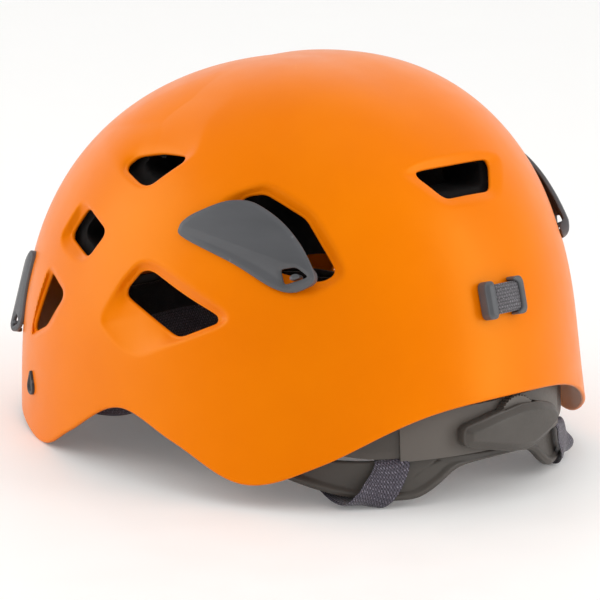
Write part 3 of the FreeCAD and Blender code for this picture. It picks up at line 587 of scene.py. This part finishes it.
# Outer edge of the moulded recess round each vent, its depth at the vent and how softly it starts.
SIDE_RECESSES = {
    "upper": ([(-57.7, 123.9), (-30, 141), (-2.9, 153.1), (15.4, 149.7), (24.2, 143.1), (19.6, 136.2),
               (25.7, 123), (20.3, 118.7), (5.6, 107.5), (-4.2, 107.1), (-20.5, 112.4),
               (-28, 114.5)], 4.2, 1.35),
    "front_upper": ([(-41.5, 98.9), (-16, 90.2), (-21.1, 79.1), (-30.9, 71.6), (-49, 75.6), (-54.3, 81.2),
                     (-48.1, 89.3)], 4.2, 0.85),
    "front_lower": ([(-59.7, 68.8), (-38.3, 59), (-52.9, 40.2), (-78, 32.2)], 3.6, 0.85),
    "middle": ([(-4.6, 62.2), (1.9, 71), (10.5, 78.6), (22, 78), (58.9, 60.5), (60, 55), (26.1, 41.9),
                (13.4, 36.7), (2, 38.9), (-12, 48), (-11.5, 53)], 5.2, 0.75),
    "rear": ([(42, 97), (45.8, 107), (54.1, 110.5), (62, 114), (74.1, 108), (84.3, 100.8), (92.9, 88.7),
              (99.5, 76.8), (97.6, 72), (90, 66.5), (82, 66), (74, 70)], 5.0, 1.0),
}
REAR_VENT = [(-23, 113.5), (23, 113.5), (14, 103.2), (-14, 103.2)]
REAR_RECESS = ([(-33, 114.5), (-14, 118.5), (14, 118.5), (33, 114.5), (17, 98), (-17, 98)], 2.5, 1.1)
# The vents are wider than their lines by VENT_EASE, and a recess fades in over EDGE_EASE.
VENT_EASE, EDGE_EASE, VENT_CORNER, RECESS_CORNER = 1.1, 1.0, 2.4, 7
# Distances are measured only this near to a recess.
RECESS_MARGIN = 6
# Recesses sink along this slanting direction on the left side and its mirror image on the right, blended
# over SINK_BLEND at the middle. LEAST_FACING bounds the slant where the shell turns away.
SINK, SINK_BLEND, LEAST_FACING = np.array([-0.673, -0.719, -0.173]), 15.0, 0.5
# Middle of the left front plug, and radius of its hole.
PLUG_CENTRE, PLUG_HOLE = np.array([98, -75.2, 12.7]), 2.6
# Grid of the shell: columns, lowest level, rows below z = 0, rows of the dome and angle of the top row.
SHELL_COLUMNS, SHELL_FOOT, FOOT_ROWS, DOME_ROWS, DOME_TOP = 700, -20.0, 18, 190, 89.4


class Opening:
    """A vent with its recess, as closed lines on the shell."""

    def __init__(self, axis, vent, recess):
        outline, self.depth, self.softness = recess
        self.axes = [1 - axis, 2]
        self.vent = rounded(vent, VENT_CORNER)
        self.recess = rounded(outline, RECESS_CORNER, 7)
        self.vent_line, self.recess_line = lifted(self.vent, axis), lifted(self.recess, axis)

    def measure(self, points):
        """Distance outside the vent and depth of the recess at points on the shell."""
        low, high = self.recess_line.min(0) - RECESS_MARGIN, self.recess_line.max(0) + RECESS_MARGIN
        near = np.flatnonzero(((points > low) & (points < high)).all(1))
        clear, sunk = np.full(len(points), np.inf), np.zeros(len(points))
        spots = points[near]
        flat = spots[:, self.axes]
        gap = loop_distance(spots, self.vent_line) * np.where(inside(flat, self.vent), -1, 1)
        rim = loop_distance(spots, self.recess_line)
        rim = np.where(inside(flat, self.recess), np.hypot(rim, EDGE_EASE) - EDGE_EASE, 0)
        share = rim / np.maximum(rim + np.maximum(gap, 0), TINY)
        clear[near], sunk[near] = gap, self.depth * share ** self.softness
        return clear, sunk


def sink_directions(points, normals):
    """How points of the shell move for each millimetre of recess."""
    slant = np.tile(SINK, (len(points), 1))
    slant[:, 0] *= np.tanh(points[:, 0] / SINK_BLEND)
    facing = (slant * normals).sum(1, keepdims=True)
    return (slant - facing * normals) / np.maximum(-facing, LEAST_FACING) - normals


SIDE_OPENINGS = [Opening(0, vent, SIDE_RECESSES[name]) for name, vent in SIDE_VENTS.items()]
REAR_OPENING = Opening(1, REAR_VENT, REAR_RECESS)


def openings_at(points):
    """Distance outside every vent and depth of the recesses at points on the shell."""
    folded = points * np.where(points[:, :1] < 0, [-1, 1, 1], [1, 1, 1])
    clear, sunk = REAR_OPENING.measure(points)
    for opening in SIDE_OPENINGS:
        gap, depth = opening.measure(folded)
        clear, sunk = np.minimum(clear, gap), np.maximum(sunk, depth)
    return clear, sunk


def build_shell():
    """Dome with sunk recesses, cut along the rim, the vents and the plugs' holes."""
    levels = np.concatenate([np.linspace(SHELL_FOOT, 0, FOOT_ROWS, endpoint=False),
                             CROWN_HEIGHT * np.sin(np.radians(np.linspace(0, DOME_TOP, DOME_ROWS)))])
    angle, level = np.meshgrid(np.arange(SHELL_COLUMNS) * 2 * math.pi / SHELL_COLUMNS, levels)
    points = shell_points(angle, level).reshape(-1, 3)
    normals = shell_normals(angle, level).reshape(-1, 3)
    clear, sunk = openings_at(points)
    clear = np.minimum(clear - VENT_EASE, points[:, 2] - rim_level(points[:, 1]))
    for side, _ in SIDES:
        from_plug = np.linalg.norm(points - PLUG_CENTRE * [side, 1, 1], axis=1)
        clear = np.minimum(clear, from_plug - PLUG_HOLE)
    values = np.column_stack([points, normals, sunk])
    values, faces = cut_grid(values, clear - LIP_RADIUS, len(levels), SHELL_COLUMNS, wrap=True)
    points, normals, sunk = values[:, :3], values[:, 3:6], values[:, 6:7]
    normals /= np.linalg.norm(normals, axis=1, keepdims=True)
    top_row = (len(levels) - 1) * SHELL_COLUMNS
    faces.append(list(range(top_row, top_row + SHELL_COLUMNS)))
    outside = points + sink_directions(points, normals) * sunk
    new_mesh("hard_shell", *rolled_solid(outside, outside - normals * WALL, faces, LIP_RADIUS),
             "shell", "shell_plastic", ["outer_shell"], sharp=50)


# ---- lamp clips

# Outlines of the leaf, its slot and the catch in it, as (along, across) shares of the leaf's length.
LEAF = [(-0.015, 0.02), (0.02, 0.09), (0.1, 0.165), (0.24, 0.268), (0.38, 0.318), (0.5, 0.312), (0.67, 0.262),
        (0.83, 0.17), (0.965, 0.045), (0.975, -0.03), (0.87, -0.12), (0.73, -0.135), (0.44, -0.08),
        (0.03, -0.035)]
LEAF_SLOT = [(0.755, -0.012), (0.803, -0.095), (0.945, 0.006), (0.850, 0.036)]
LEAF_CATCH = [(0.835, -0.06), (0.832, -0.024), (0.862, 0.0), (0.91, -0.006)]
# Thickness of a leaf, and the width and drop of its rounded border.
LEAF_THICK, LEAF_ROUND, LEAF_DROP = 2.4, 2.2, 0.7
# Gap under a leaf: at its fixed end, and what its free end adds.
CLIP_GAPS = {"rear": (0.7, 3.0), "front": (0.6, 3.8)}
# The leaf's lower side folds down to the shell: where that starts, how steeply, and how far into the shell.
FOLD_SIDE, FOLD_SLOPE, FOLD_SINK = 0.04, 0.32, 0.4
# Foot and hooked tip under a leaf: share of the length where they start, width of the step, level.
FOOT, FOOT_STEP, FOOT_LEVEL = 0.13, 2.0, -1.0
TIP, TIP_STEP, TIP_LEVEL = 0.95, 1.2, 0.3


class ClipFrame:
    """Place of a clip on the left of the shell: from its root, along the leaf, across it and outwards."""

    def __init__(self, root, tip, length):
        (root_angle, root_level), (tip_angle, tip_level) = root, tip
        self.length = length
        self.root = shell_points(np.radians(root_angle), root_level)
        middle = np.radians((root_angle + tip_angle) / 2), (root_level + tip_level) / 2
        self.outward = shell_normals(*middle)
        line = shell_points(np.radians(tip_angle), tip_level) - self.root
        line = line - self.outward * (line @ self.outward)
        self.along = line / np.linalg.norm(line)
        self.across = np.cross(self.outward, self.along)

    def place(self, side):
        """Function that puts (along, across, height over the shell) on the left or right side."""
        def put(along, across, height):
            flat = self.root + along[:, None] * self.along + across[:, None] * self.across
            points = on_shell(flat, self.outward) + height[:, None] * self.outward
            return points * np.array([side, 1, 1])
        return put


# Each left clip, and whether its curved side is the one across (1) or the opposite one (-1).
CLIPS = {"rear": (ClipFrame((13.5, 92), (46, 73), 68), 1),
         "front": (ClipFrame((-40, 68), (-48, 28), 44), -1)}


def build_clip(end, side, word):
    """Leaf of a lamp clip, and the catch on the shell that stands in its slot."""
    clip, flip = CLIPS[end]
    length = clip.length
    near_gap, more_gap = CLIP_GAPS[end]

    def scaled(shares):
        return np.array(shares) * [length, length * flip]

    def under(along, across):
        gap = near_gap + more_gap * np.clip(along / length, 0, 1) ** 3
        fold = FOLD_SLOPE * np.maximum(0, FOLD_SIDE * length - across * flip)
        return gap - np.minimum(fold, FOLD_SINK + gap)

    def top(along, across, depth):
        return under(along, across) + LEAF_THICK - LEAF_DROP * round_edge(depth, LEAF_ROUND)

    def bottom(along, across, depth):
        foot = np.clip((FOOT * length - along) / FOOT_STEP + 0.5, 0, 1)
        tip = np.clip((along - TIP * length) / TIP_STEP + 0.5, 0, 1)
        return under(along, across) * (1 - foot - tip) + FOOT_LEVEL * foot + TIP_LEVEL * tip

    node = f"clip_{end}_{word}"
    plate(f"lamp_clip_{end}_{word}", smooth_line(scaled(LEAF), 8, closed=True), clip.place(side), top, bottom,
          node, "clip_plastic", [node], holes=[rounded(scaled(LEAF_SLOT), 1.2, 3)], edge=0.6)
    plate(f"lamp_clip_catch_{end}_{word}", rounded(scaled(LEAF_CATCH), 0.8, 3), clip.place(side),
          lambda a, b, depth: near_gap + more_gap, lambda a, b, depth: FOOT_LEVEL,
          "shell", "clip_plastic", ["outer_shell"], cell=0.3)


# ---- rear unit

ARC_CENTRE, ARC_RADIUS = 27.0, 93.5
DIAL_SIDE, DIAL_LEVEL, DIAL_RADIUS = -6.0, 4.2, 11.8


def on_arc(base):
    """Function that puts (x, z, height) on the rear unit's cylinder, with heights measured from a radius."""
    def put(x, z, height):
        turn = np.arcsin(x / base)
        radius = base + height
        return np.stack([radius * np.sin(turn), ARC_CENTRE + radius * np.cos(turn), z], -1)
    return put


COVER_OUTLINE = [(24.5, 6.8), (7, 11), (-6, 12.8), (-18, 11.6), (-29, 8.4), (-32.8, 4.5), (-32.2, -1.2),
                 (-24, -4.6), (-12, -7.9), (-1.5, -7.8), (24.5, -1.8)]
COVER_STAND_OFF, COVER_THICK, COVER_WALL, COVER_FACE = 3.9, 7.9, 1.6, 3.2
# Bevel round the face: where it ends inside the edge, its width and its drop.
BEVEL_END, BEVEL_WIDE, BEVEL_DROP = 3.4, 2.6, 2.0
# The face sinks a little over this run to the side of the dial.
FACE_DROP, FACE_RUN = 0.5, 30.0
# Room round the wheel, and the height over the dial's middle from which the cover is open to it.
WHEEL_ROOM, WHEEL_OPENING = 0.9, 2.0


def build_dial_cover():
    """Leaf-shaped cover with a bevelled flat face, hollow behind and open above the wheel."""
    def top(x, z, depth):
        bevel = np.clip((BEVEL_END - depth) / BEVEL_WIDE, 0, 1)
        return COVER_THICK - BEVEL_DROP * bevel - FACE_DROP * np.clip((x - DIAL_SIDE) / FACE_RUN, 0, 1)

    def bottom(x, z, depth):
        near_wheel = np.hypot(x - DIAL_SIDE, z - DIAL_LEVEL) < DIAL_RADIUS + WHEEL_ROOM
        hollow = (depth > COVER_WALL) | (near_wheel & (z > DIAL_LEVEL + WHEEL_OPENING))
        return np.where(hollow, COVER_THICK - COVER_FACE, 0.0)

    plate("dial_cover_shell", rounded(COVER_OUTLINE, 3, 5), on_arc(ARC_RADIUS + COVER_STAND_OFF), top, bottom,
          "cradle", "rear_unit_plastic", ["dial_cover"], cell=0.45, edge=0.9, sharp=24)


# Rear view outline of the nape cradle as (x, z), left half: its lower edge, then its upper edge.
NAPE_OUTLINE = [(0, -10.5), (14, -10.8), (23, -12), (32, -19), (40, -23.4), (50, -23.4), (58, -22.4),
                (66, -20.4), (74, -17), (82, -12), (87, -6), (87, -1), (74, -4), (60, -5.6), (40, -5.6),
                (24, -6.5), (0, -7.3)]
NAPE_CREASE = [(42.3, -14.6), (39.8, -11.7), (28.1, -7.3), (31.4, -6.8)]
NAPE_FRONT, NAPE_BACK, CREASE_DEPTH, CREASE_EDGE = 0.9, -1.6, 0.8, 0.7
# Rounded rim along the lower edge: distance inside it, half width, height, top level and how it fades there.
RIM_INSIDE, RIM_HALF, RIM_HEIGHT, RIM_TOP, RIM_FADE = 2.0, 1.6, 1.7, -9.5, 3.0


def build_nape_cradle():
    """Cradle plate with a thick rounded rim along its edge and a slanting crease on either side."""
    left = np.array(NAPE_OUTLINE, float)
    right = left[1:-1][::-1] * [-1, 1]
    crease = rounded(NAPE_CREASE, 1.2, 3)

    def top(x, z, depth):
        rim = np.clip(1 - np.abs(depth - RIM_INSIDE) / RIM_HALF, 0, 1)
        rim *= np.clip((RIM_TOP - z) / RIM_FADE, 0, 1)
        groove = np.clip(depth_inside(np.stack([np.abs(x), z], -1), crease) / CREASE_EDGE, 0, 1)
        return NAPE_FRONT + RIM_HEIGHT * np.sqrt(rim) - CREASE_DEPTH * groove

    plate("nape_cradle_plate", rounded(np.vstack([left, right]), 4, 5), on_arc(ARC_RADIUS), top,
          lambda x, z, depth: NAPE_BACK, "cradle", "rear_unit_plastic", ["nape_cradle"], sharp=50, edge=0.9)


# ---- keeper

KEEPER_LEVEL, KEEPER_TILT = 59.0, math.radians(11.5)
KEEPER_OUT = np.array([0, math.cos(KEEPER_TILT), math.sin(KEEPER_TILT)])
KEEPER_UP = np.array([0, -math.sin(KEEPER_TILT), math.cos(KEEPER_TILT)])
KEEPER_CAP = [(6.8, -6.2), (8, -8.2), (11.8, -8.2), (13.2, -6.2), (13.2, 6.2), (11.8, 8.2), (8, 8.2),
              (6.8, 6.2)]
KEEPER_HOOK = [(-10, -6), (-8.6, -8.2), (-4.4, -8.2), (-3.6, -7), (-6.2, -6.4), (-7.2, -5), (-7.2, 5),
               (-6.2, 6.4), (-3.6, 7), (-4.4, 8.2), (-8.6, 8.2), (-10, 6)]
CAP_HEIGHT, CAP_BEVEL, HOOK_HEIGHT, KEEPER_FOOT = 5.5, 0.8, 5.2, -0.2
# Middle of the elastic as (x, height over the shell).
ELASTIC_LINE = np.array([(-7.3, 3.0), (-5.6, 3.4), (0, 3.7), (5.6, 3.5), (7.2, 3.1)])
ELASTIC_WIDTH, ELASTIC_THICK = 12.8, 1.7


def on_keeper(x, z, height):
    """Puts (x, z, height) on the keeper's plane at the rear of the shell."""
    flat = shell_points(math.pi / 2, KEEPER_LEVEL) + x[:, None] * np.array([1, 0, 0])
    return flat + z[:, None] * KEEPER_UP + height[:, None] * KEEPER_OUT


def build_keeper():
    """Cap with a bevelled face, hook and the elastic between them."""
    plate("keeper_cap", rounded(KEEPER_CAP, 0.8, 3), on_keeper,
          lambda x, z, depth: CAP_HEIGHT - CAP_BEVEL * np.clip(1.9 - depth, 0, 1.3),
          lambda x, z, depth: KEEPER_FOOT, "keeper", "clip_plastic", ["keeper_toggle"], cell=0.3, sharp=30)
    plate("keeper_hook", rounded(KEEPER_HOOK, 1.0, 3), on_keeper,
          lambda x, z, depth: HOOK_HEIGHT - 0.6 * round_edge(depth, 1.4),
          lambda x, z, depth: KEEPER_FOOT, "shell", "clip_plastic", ["keeper_anchor"], cell=0.3, edge=0.6)
    x, height = ELASTIC_LINE.T
    ribbon("keeper_tape", on_keeper(x, 0 * x, height), ELASTIC_WIDTH, KEEPER_UP, ELASTIC_THICK, "shell",
           "elastic", ["keeper_elastic"])


# ---- front plugs

PLUG_OUTWARD = np.array([0.83, -0.55, 0.05])
PLUG_OUTLINE = [(0, 6.2), (2.4, 2.6), (4.4, -0.8), (3.4, -4), (0, -5), (-3.4, -4), (-4.4, -0.8), (-2.4, 2.6)]
# Head of the plug: height, depth of its dish, width of the rim round it, and how far it sinks.
HEAD_HEIGHT, DISH_DEPTH, DISH_RIM, HEAD_SINK = 1.2, 0.9, 1.3, -0.6
# Stud behind the head: its play in the hole, and the level of its end.
STUD_PLAY, STUD_END = 0.3, -9.0


def build_front_plug(side, word):
    """Teardrop head of the plug that pins the front webbing to the shell, with its stud."""
    outward = PLUG_OUTWARD / np.linalg.norm(PLUG_OUTWARD)
    along = np.cross([0, 0, 1.0], outward)
    along /= np.linalg.norm(along)
    up = np.cross(outward, along)

    def put(u, v, height):
        flat = PLUG_CENTRE + u[:, None] * along + v[:, None] * up
        return (on_shell(flat, outward) + height[:, None] * outward) * np.array([side, 1, 1])

    plate(f"front_plug_{word}", smooth_line(PLUG_OUTLINE, 5, closed=True), put,
          lambda u, v, depth: HEAD_HEIGHT - DISH_DEPTH * np.clip((depth - DISH_RIM) / 0.4, 0, 1),
          lambda u, v, depth: np.where(np.hypot(u, v) < PLUG_HOLE - STUD_PLAY, STUD_END, HEAD_SINK),
          "shell", "fitting_plastic", [f"front_anchor_{word}"], cell=0.35)


# ---- webbing

STRAP_SIDE, STRAP_REACH, STRAP_LEVEL, EAR_BACK = 76.8, 86.0, 24.0, 5.0
TAPE_WIDTH, TAPE_THICK = 15.0, 1.5
# Left front tape, from the plug to the ear slide.
FRONT_TAPE = [(86.2, -66.5, 10), (84.5, -45, 8), (83, -30, 9), (82.6, -14, 14), (82.6, -2, 18)]
# Left rear tape: down inside the rear band, round its lower edge and up the nape cradle, as (degrees about
# the rear unit's axis, distance outside ARC_RADIUS, level), and then inside the helmet to the ear slide.
REAR_TAPE = [(31.8, -4.4, 20), (31.8, -4.4, 4), (31.8, -4.4, -1), (31.8, -3.4, -3.2), (31.9, 0, -4.9),
             (32.2, 3.2, -7), (33.4, 4.1, -12), (35.6, 4.3, -17.6), (38.8, 3.1, -22), (43, -1.5, -23.8),
             (48, -9, -20)]
REAR_TAPE_INSIDE = [(68, 66, -8), (70.5, 40, 2), (71.5, 20, 8)]
# Direction across the rear tape at each of these points.
REAR_TAPE_ACROSS = [(0.84, -0.54, 0)] * 6 + [
    (0.8, -0.5, 0.3), (0.75, -0.48, 0.45), (0.85, -0.1, 0.4), (0.95, 0.3, 0.1), (0.97, 0.25, 0.05),
    (0.8, 0.3, 0.5), (0.4, 0.3, 0.86), (0, 0, 1)]


def arc_point(angle, over, z):
    """Point at an angle in degrees, a distance outside the rear unit's cylinder and a level."""
    turn, radius = math.radians(angle), ARC_RADIUS + over
    return radius * math.sin(turn), ARC_CENTRE + radius * math.cos(turn), z


def build_side_webbing(side, word):
    """Front and rear tape of one side."""
    mirror = np.array([side, 1, 1])
    ribbon(f"front_tape_{word}", np.array(FRONT_TAPE) * mirror, TAPE_WIDTH, (0, 0, 1), TAPE_THICK, "shell",
           "webbing", [f"front_webbing_{word}"])
    rear = [arc_point(*place) for place in REAR_TAPE] + REAR_TAPE_INSIDE
    ribbon(f"rear_tape_{word}", np.array(rear) * mirror, TAPE_WIDTH, np.array(REAR_TAPE_ACROSS) * mirror,
           TAPE_THICK, "cradle", "webbing", [f"rear_webbing_{word}"])


def build_chin_webbing():
    """The chin loop, from each ear to the buckle, with the gap that the CAD leaves for the buckle."""
    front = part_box("chin_webbing_left")[0].y / MM
    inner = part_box("chin_webbing_right")[1].x / MM
    left_end = math.asin(min((ORIGIN[1] + EAR_BACK - front) / STRAP_REACH, 1))
    right_end = math.acos(inner / STRAP_SIDE)
    for word, start, end in (("left", 0, left_end), ("right", right_end, math.pi)):
        turn = np.linspace(start, end, 40)
        loop = np.stack([STRAP_SIDE * np.cos(turn), EAR_BACK - STRAP_REACH * np.sin(turn),
                         np.full(len(turn), STRAP_LEVEL)], -1)
        ribbon(f"chin_tape_{word}", loop, TAPE_WIDTH, (0, 0, 1), TAPE_THICK, "chin_strap", "webbing",
               [f"chin_webbing_{word}"], steps=2)


# ---- foam and pads

FOAM_VOXEL, FOAM_CLEARANCE = 2.2, 0.7
# Directions are taken from the shell no higher than this far under the crown.
CROWN_MARGIN = 4.0
# Points that a recess may have pushed over the foam are looked for at these steps along its slant.
SLANT_STEPS = (0, 2, 4)
# Cloth pass of the pads: pressure inside, largest move, frames and quality.
PAD_PRESSURE, PAD_SWELL, PAD_FRAMES, PAD_QUALITY = 4, 2.0, 20, 5


def applied(piece):
    """Replaces a piece's mesh by what its modifiers make of it."""
    graph = bpy.context.evaluated_depsgraph_get()
    mesh = bpy.data.meshes.new_from_object(piece.evaluated_get(graph))
    piece.modifiers.clear()
    piece.data = mesh
    return piece


def evened(node, name, voxel_mm, rounds):
    """Own copy of a CAD node with an even, smoothed mesh."""
    piece = staged(name, frame["nodes"][node].data.copy())
    remesh = piece.modifiers.new("even", "REMESH")
    remesh.mode, remesh.voxel_size = "VOXEL", voxel_mm * MM
    applied(piece)
    piece.modifiers.new("soft", "SMOOTH").iterations = rounds
    return applied(piece)


def moved_points(piece, points):
    """Gives a piece's mesh new points, in metres."""
    piece.data.vertices.foreach_set("co", points.astype(np.float32).ravel())
    piece.data.update()


def build_foam():
    """Foam cap, pressed in wherever the shell is recessed over it."""
    piece = evened("foam_liner", "foam_cap", FOAM_VOXEL, 2)
    points = np.array([vertex.co for vertex in piece.data.vertices]) / MM - ORIGIN
    angle = np.arctan2(points[:, 1] / REAR_LENGTH, points[:, 0] / HALF_WIDTH)
    normals = shell_normals(angle, np.clip(points[:, 2], 0, CROWN_HEIGHT - CROWN_MARGIN))
    cover = on_shell(points, normals)
    under = ((cover - points) * normals).sum(1)
    slant = sink_directions(cover, normals) + normals
    sunk = np.max([openings_at(cover - slant * step)[1] for step in SLANT_STEPS], axis=0)
    needed = sunk + WALL + FOAM_CLEARANCE
    pressed = (under < needed) & (under > -FOAM_CLEARANCE)
    points[pressed] = (cover - normals * needed[:, None])[pressed]
    moved_points(piece, (points + ORIGIN) * MM)
    piece.data.shade_smooth()
    dress(piece, "shell", "liner_foam", ["foam_liner"])


def swollen(piece):
    """Cloth pass: a little pressure swells the pad's cover, and no point moves further than PAD_SWELL."""
    rest = np.array([v.co for v in piece.data.vertices])
    cloth = piece.modifiers.new("cloth", "CLOTH")
    cloth.settings.use_pressure = True
    cloth.settings.uniform_pressure_force = PAD_PRESSURE
    cloth.settings.effector_weights.gravity = 0
    cloth.settings.quality = PAD_QUALITY
    cloth.point_cache.frame_end = PAD_FRAMES
    for number in range(1, PAD_FRAMES + 1):
        bpy.context.scene.frame_set(number)
    applied(piece)
    bpy.context.scene.frame_set(1)
    step = np.array([v.co for v in piece.data.vertices]) - rest
    far = np.linalg.norm(step, axis=1, keepdims=True)
    moved_points(piece, rest + step * np.minimum(1, PAD_SWELL * MM / np.maximum(far, TINY)))


def build_pad(node, name, voxel_mm):
    """Soft pad with a swollen cover over a CAD pad."""
    piece = evened(node, name, voxel_mm, 3)
    swollen(piece)
    finer = piece.modifiers.new("finer", "SUBSURF")
    finer.levels = finer.render_levels = 1
    piece.data.shade_smooth()
    dress(piece, "shell", "pad_fabric", [node])


# ---- CAD pieces that stay

BEVELS_MM = {
    "headband": 0.5, "rear_band": 0.7, "dial_wheel": 0.12, "dial_pinion": 0.1, "dial_axle": 0.2,
    "rack_left": 0.15, "rack_right": 0.15, "detent_spring": 0.05, "ear_slide_left": 0.7,
    "ear_slide_right": 0.7,
    "buckle_socket": 0.5, "buckle_plug": 0.4, "buckle_arm_upper": 0.4, "buckle_arm_lower": 0.4,
}
BEVEL_ANGLE = math.radians(35)


def finish_cad_nodes():
    """Material and softened edges of the pieces that are shown as the CAD has them."""
    slots = {part["node"]: part["material_slot"] for part in frame["record"]["subparts"]}
    for node, width in BEVELS_MM.items():
        piece = frame["nodes"][node]
        piece.data.materials.clear()
        piece.data.materials.append(MATERIALS[slots[node]])
        bevel = piece.modifiers.new("soft edges", "BEVEL")
        bevel.width = width * MM
        bevel.segments = 2
        bevel.limit_method = "ANGLE"
        bevel.angle_limit = BEVEL_ANGLE
        bevel.harden_normals = True


# ---- stage

# Camera: angles and roll in degrees, distance and aim in millimetres of the shell's frame, focal length and
# shift on a 36 mm sensor.
CAMERA_AZIMUTH, CAMERA_ELEVATION, CAMERA_ROLL = 136.878, 9.973, -1.947
CAMERA_DISTANCE, CAMERA_AIM = 1925.8, (0, 0, 60)
CAMERA_FOCAL, CAMERA_SHIFT, CAMERA_SENSOR = 258.4, (0.0025, -0.0582), 36
# Softboxes: azimuth and elevation in degrees, distance, width and height in metres, and power in watts.
SOFTBOXES = {"left_softbox": (44, 12, 1.3, 0.7, 1.1, 5), "right_softbox": (211, 12, 1.4, 0.45, 1.1, 5),
             "top_softbox": (150, 70, 1.5, 1.2, 1.2, 1.5)}
SOFTBOX_AIM = Vector((0, 0, 0.09))
FLOOR_HALF, FLOOR_GLOW = 4.0, 0.12
# Light of the room on rough surfaces, and what reflections see: a dim room with a bright wall behind.
ROOM_LIGHT, ROOM_MIRRORED, WALL_MIRRORED = 0.9, 0.08, 1.3


def direction(azimuth, elevation):
    """Direction from the helmet towards an azimuth and elevation in degrees."""
    a, e = math.radians(azimuth), math.radians(elevation)
    return Vector((math.sin(a) * math.cos(e), -math.cos(a) * math.cos(e), math.sin(e)))


def build_camera():
    """The scene's camera, at the helmet's rear left."""
    data = bpy.data.cameras.new("rear_left_camera")
    camera = staged("rear_left_camera", data)
    back = direction(CAMERA_AZIMUTH, CAMERA_ELEVATION)
    aim = Vector(((np.array(CAMERA_AIM) + ORIGIN) * MM).tolist())
    roll = Matrix.Rotation(math.radians(CAMERA_ROLL), 3, "Z")
    turn = (-back).to_track_quat("-Z", "Y").to_matrix() @ roll
    camera.matrix_world = Matrix.Translation(aim + back * CAMERA_DISTANCE * MM) @ turn.to_4x4()
    data.sensor_width, data.lens = CAMERA_SENSOR, CAMERA_FOCAL
    data.shift_x, data.shift_y = CAMERA_SHIFT
    data.clip_start, data.clip_end = 0.1, 20
    bpy.context.scene.camera = camera


def soft_light(name, azimuth, elevation, distance, wide, tall, power):
    """Softbox that faces the helmet."""
    data = bpy.data.lights.new(name, "AREA")
    data.shape = "RECTANGLE"
    data.size, data.size_y = wide, tall
    data.energy = power
    lamp = staged(name, data)
    back = direction(azimuth, elevation)
    lamp.location = SOFTBOX_AIM + back * distance
    lamp.rotation_mode = "QUATERNION"
    lamp.rotation_quaternion = (-back).to_track_quat("-Z", "Y")


def corners_of(*names):
    """All mesh points of some pieces, in metres."""
    return np.vstack([[v.co for v in bpy.data.objects[name].data.vertices] for name in names])


def build_floor():
    """The helmet rests on its rear tapes and the front of its rim, so the floor rises to the front."""
    rear = corners_of("rear_tape_left", "rear_tape_right")
    rear = rear[rear[:, 2].argmin()]
    front = corners_of("hard_shell")
    front = front[front[:, 1] < 0]
    slope = ((front[:, 2] - rear[2]) / (rear[1] - front[:, 1])).min()
    corners = [(FLOOR_HALF * x, FLOOR_HALF * y, rear[2] + slope * (rear[1] - FLOOR_HALF * y))
               for x, y in ((-1, -1), (1, -1), (1, 1), (-1, 1))]
    floor = bpy.data.meshes.new("floor")
    floor.from_pydata(corners, [], [(0, 1, 2, 3)])
    look = Look("pale_floor", linear(244, 243, 241), 0.6)
    seen = look.node("ShaderNodeLightPath").outputs["Is Camera Ray"]
    look.set(look.shader, {"Roughness": look.ramp(look.noise(30), 0.3, 0.7, 0.5, 0.65),
                           "Emission Color": (1.0, 1.0, 1.0, 1.0),
                           "Emission Strength": look.times(seen, FLOOR_GLOW)})
    floor.materials.append(look.material)
    staged("floor", floor)


def build_world():
    """White room that the camera sees. Reflections see it dark, save behind the helmet."""
    world = bpy.data.worlds.new("white_room")
    nodes = Nodes(world)
    ray = nodes.node("ShaderNodeLightPath").outputs
    seen = nodes.node("ShaderNodeTexCoord").outputs["Generated"]
    forward = tuple(-direction(CAMERA_AZIMUTH, CAMERA_ELEVATION))
    ahead = nodes.node("ShaderNodeVectorMath", {0: seen, 1: forward}, operation="DOT_PRODUCT").outputs["Value"]
    wall = nodes.times(nodes.math("MAXIMUM", ahead, 0.0), WALL_MIRRORED)
    mirrored = nodes.math("MINIMUM", nodes.math("ADD", wall, ROOM_MIRRORED), 1.0)
    glossy = nodes.times(ray["Is Glossy Ray"], mirrored)
    diffuse = nodes.times(ray["Is Diffuse Ray"], ROOM_LIGHT)
    strength = nodes.math("MAXIMUM", nodes.math("MAXIMUM", glossy, diffuse), ray["Is Camera Ray"])
    nodes.set(nodes.tree.nodes["Background"], {"Strength": strength, "Color": (1, 1, 1, 1)})
    bpy.context.scene.world = world


def build_stage():
    """Floor, room, lights and camera."""
    build_floor()
    build_world()
    bpy.context.scene.view_settings.view_transform = "Standard"
    for name, values in SOFTBOXES.items():
        soft_light(name, *values)
    build_camera()


# ---- the whole helmet

def build_helmet():
    """Every piece of the helmet."""
    build_shell()
    for end in CLIPS:
        for side, word in SIDES:
            build_clip(end, side, word)
    build_dial_cover()
    build_nape_cradle()
    build_keeper()
    for build in (build_front_plug, build_side_webbing):
        for side, word in SIDES:
            build(side, word)
    build_chin_webbing()
    build_foam()
    build_pad("crown_pad", "crown_cushion", 4)
    build_pad("brow_pad", "brow_cushion", 3)
    finish_cad_nodes()


build_helmet()
build_stage()
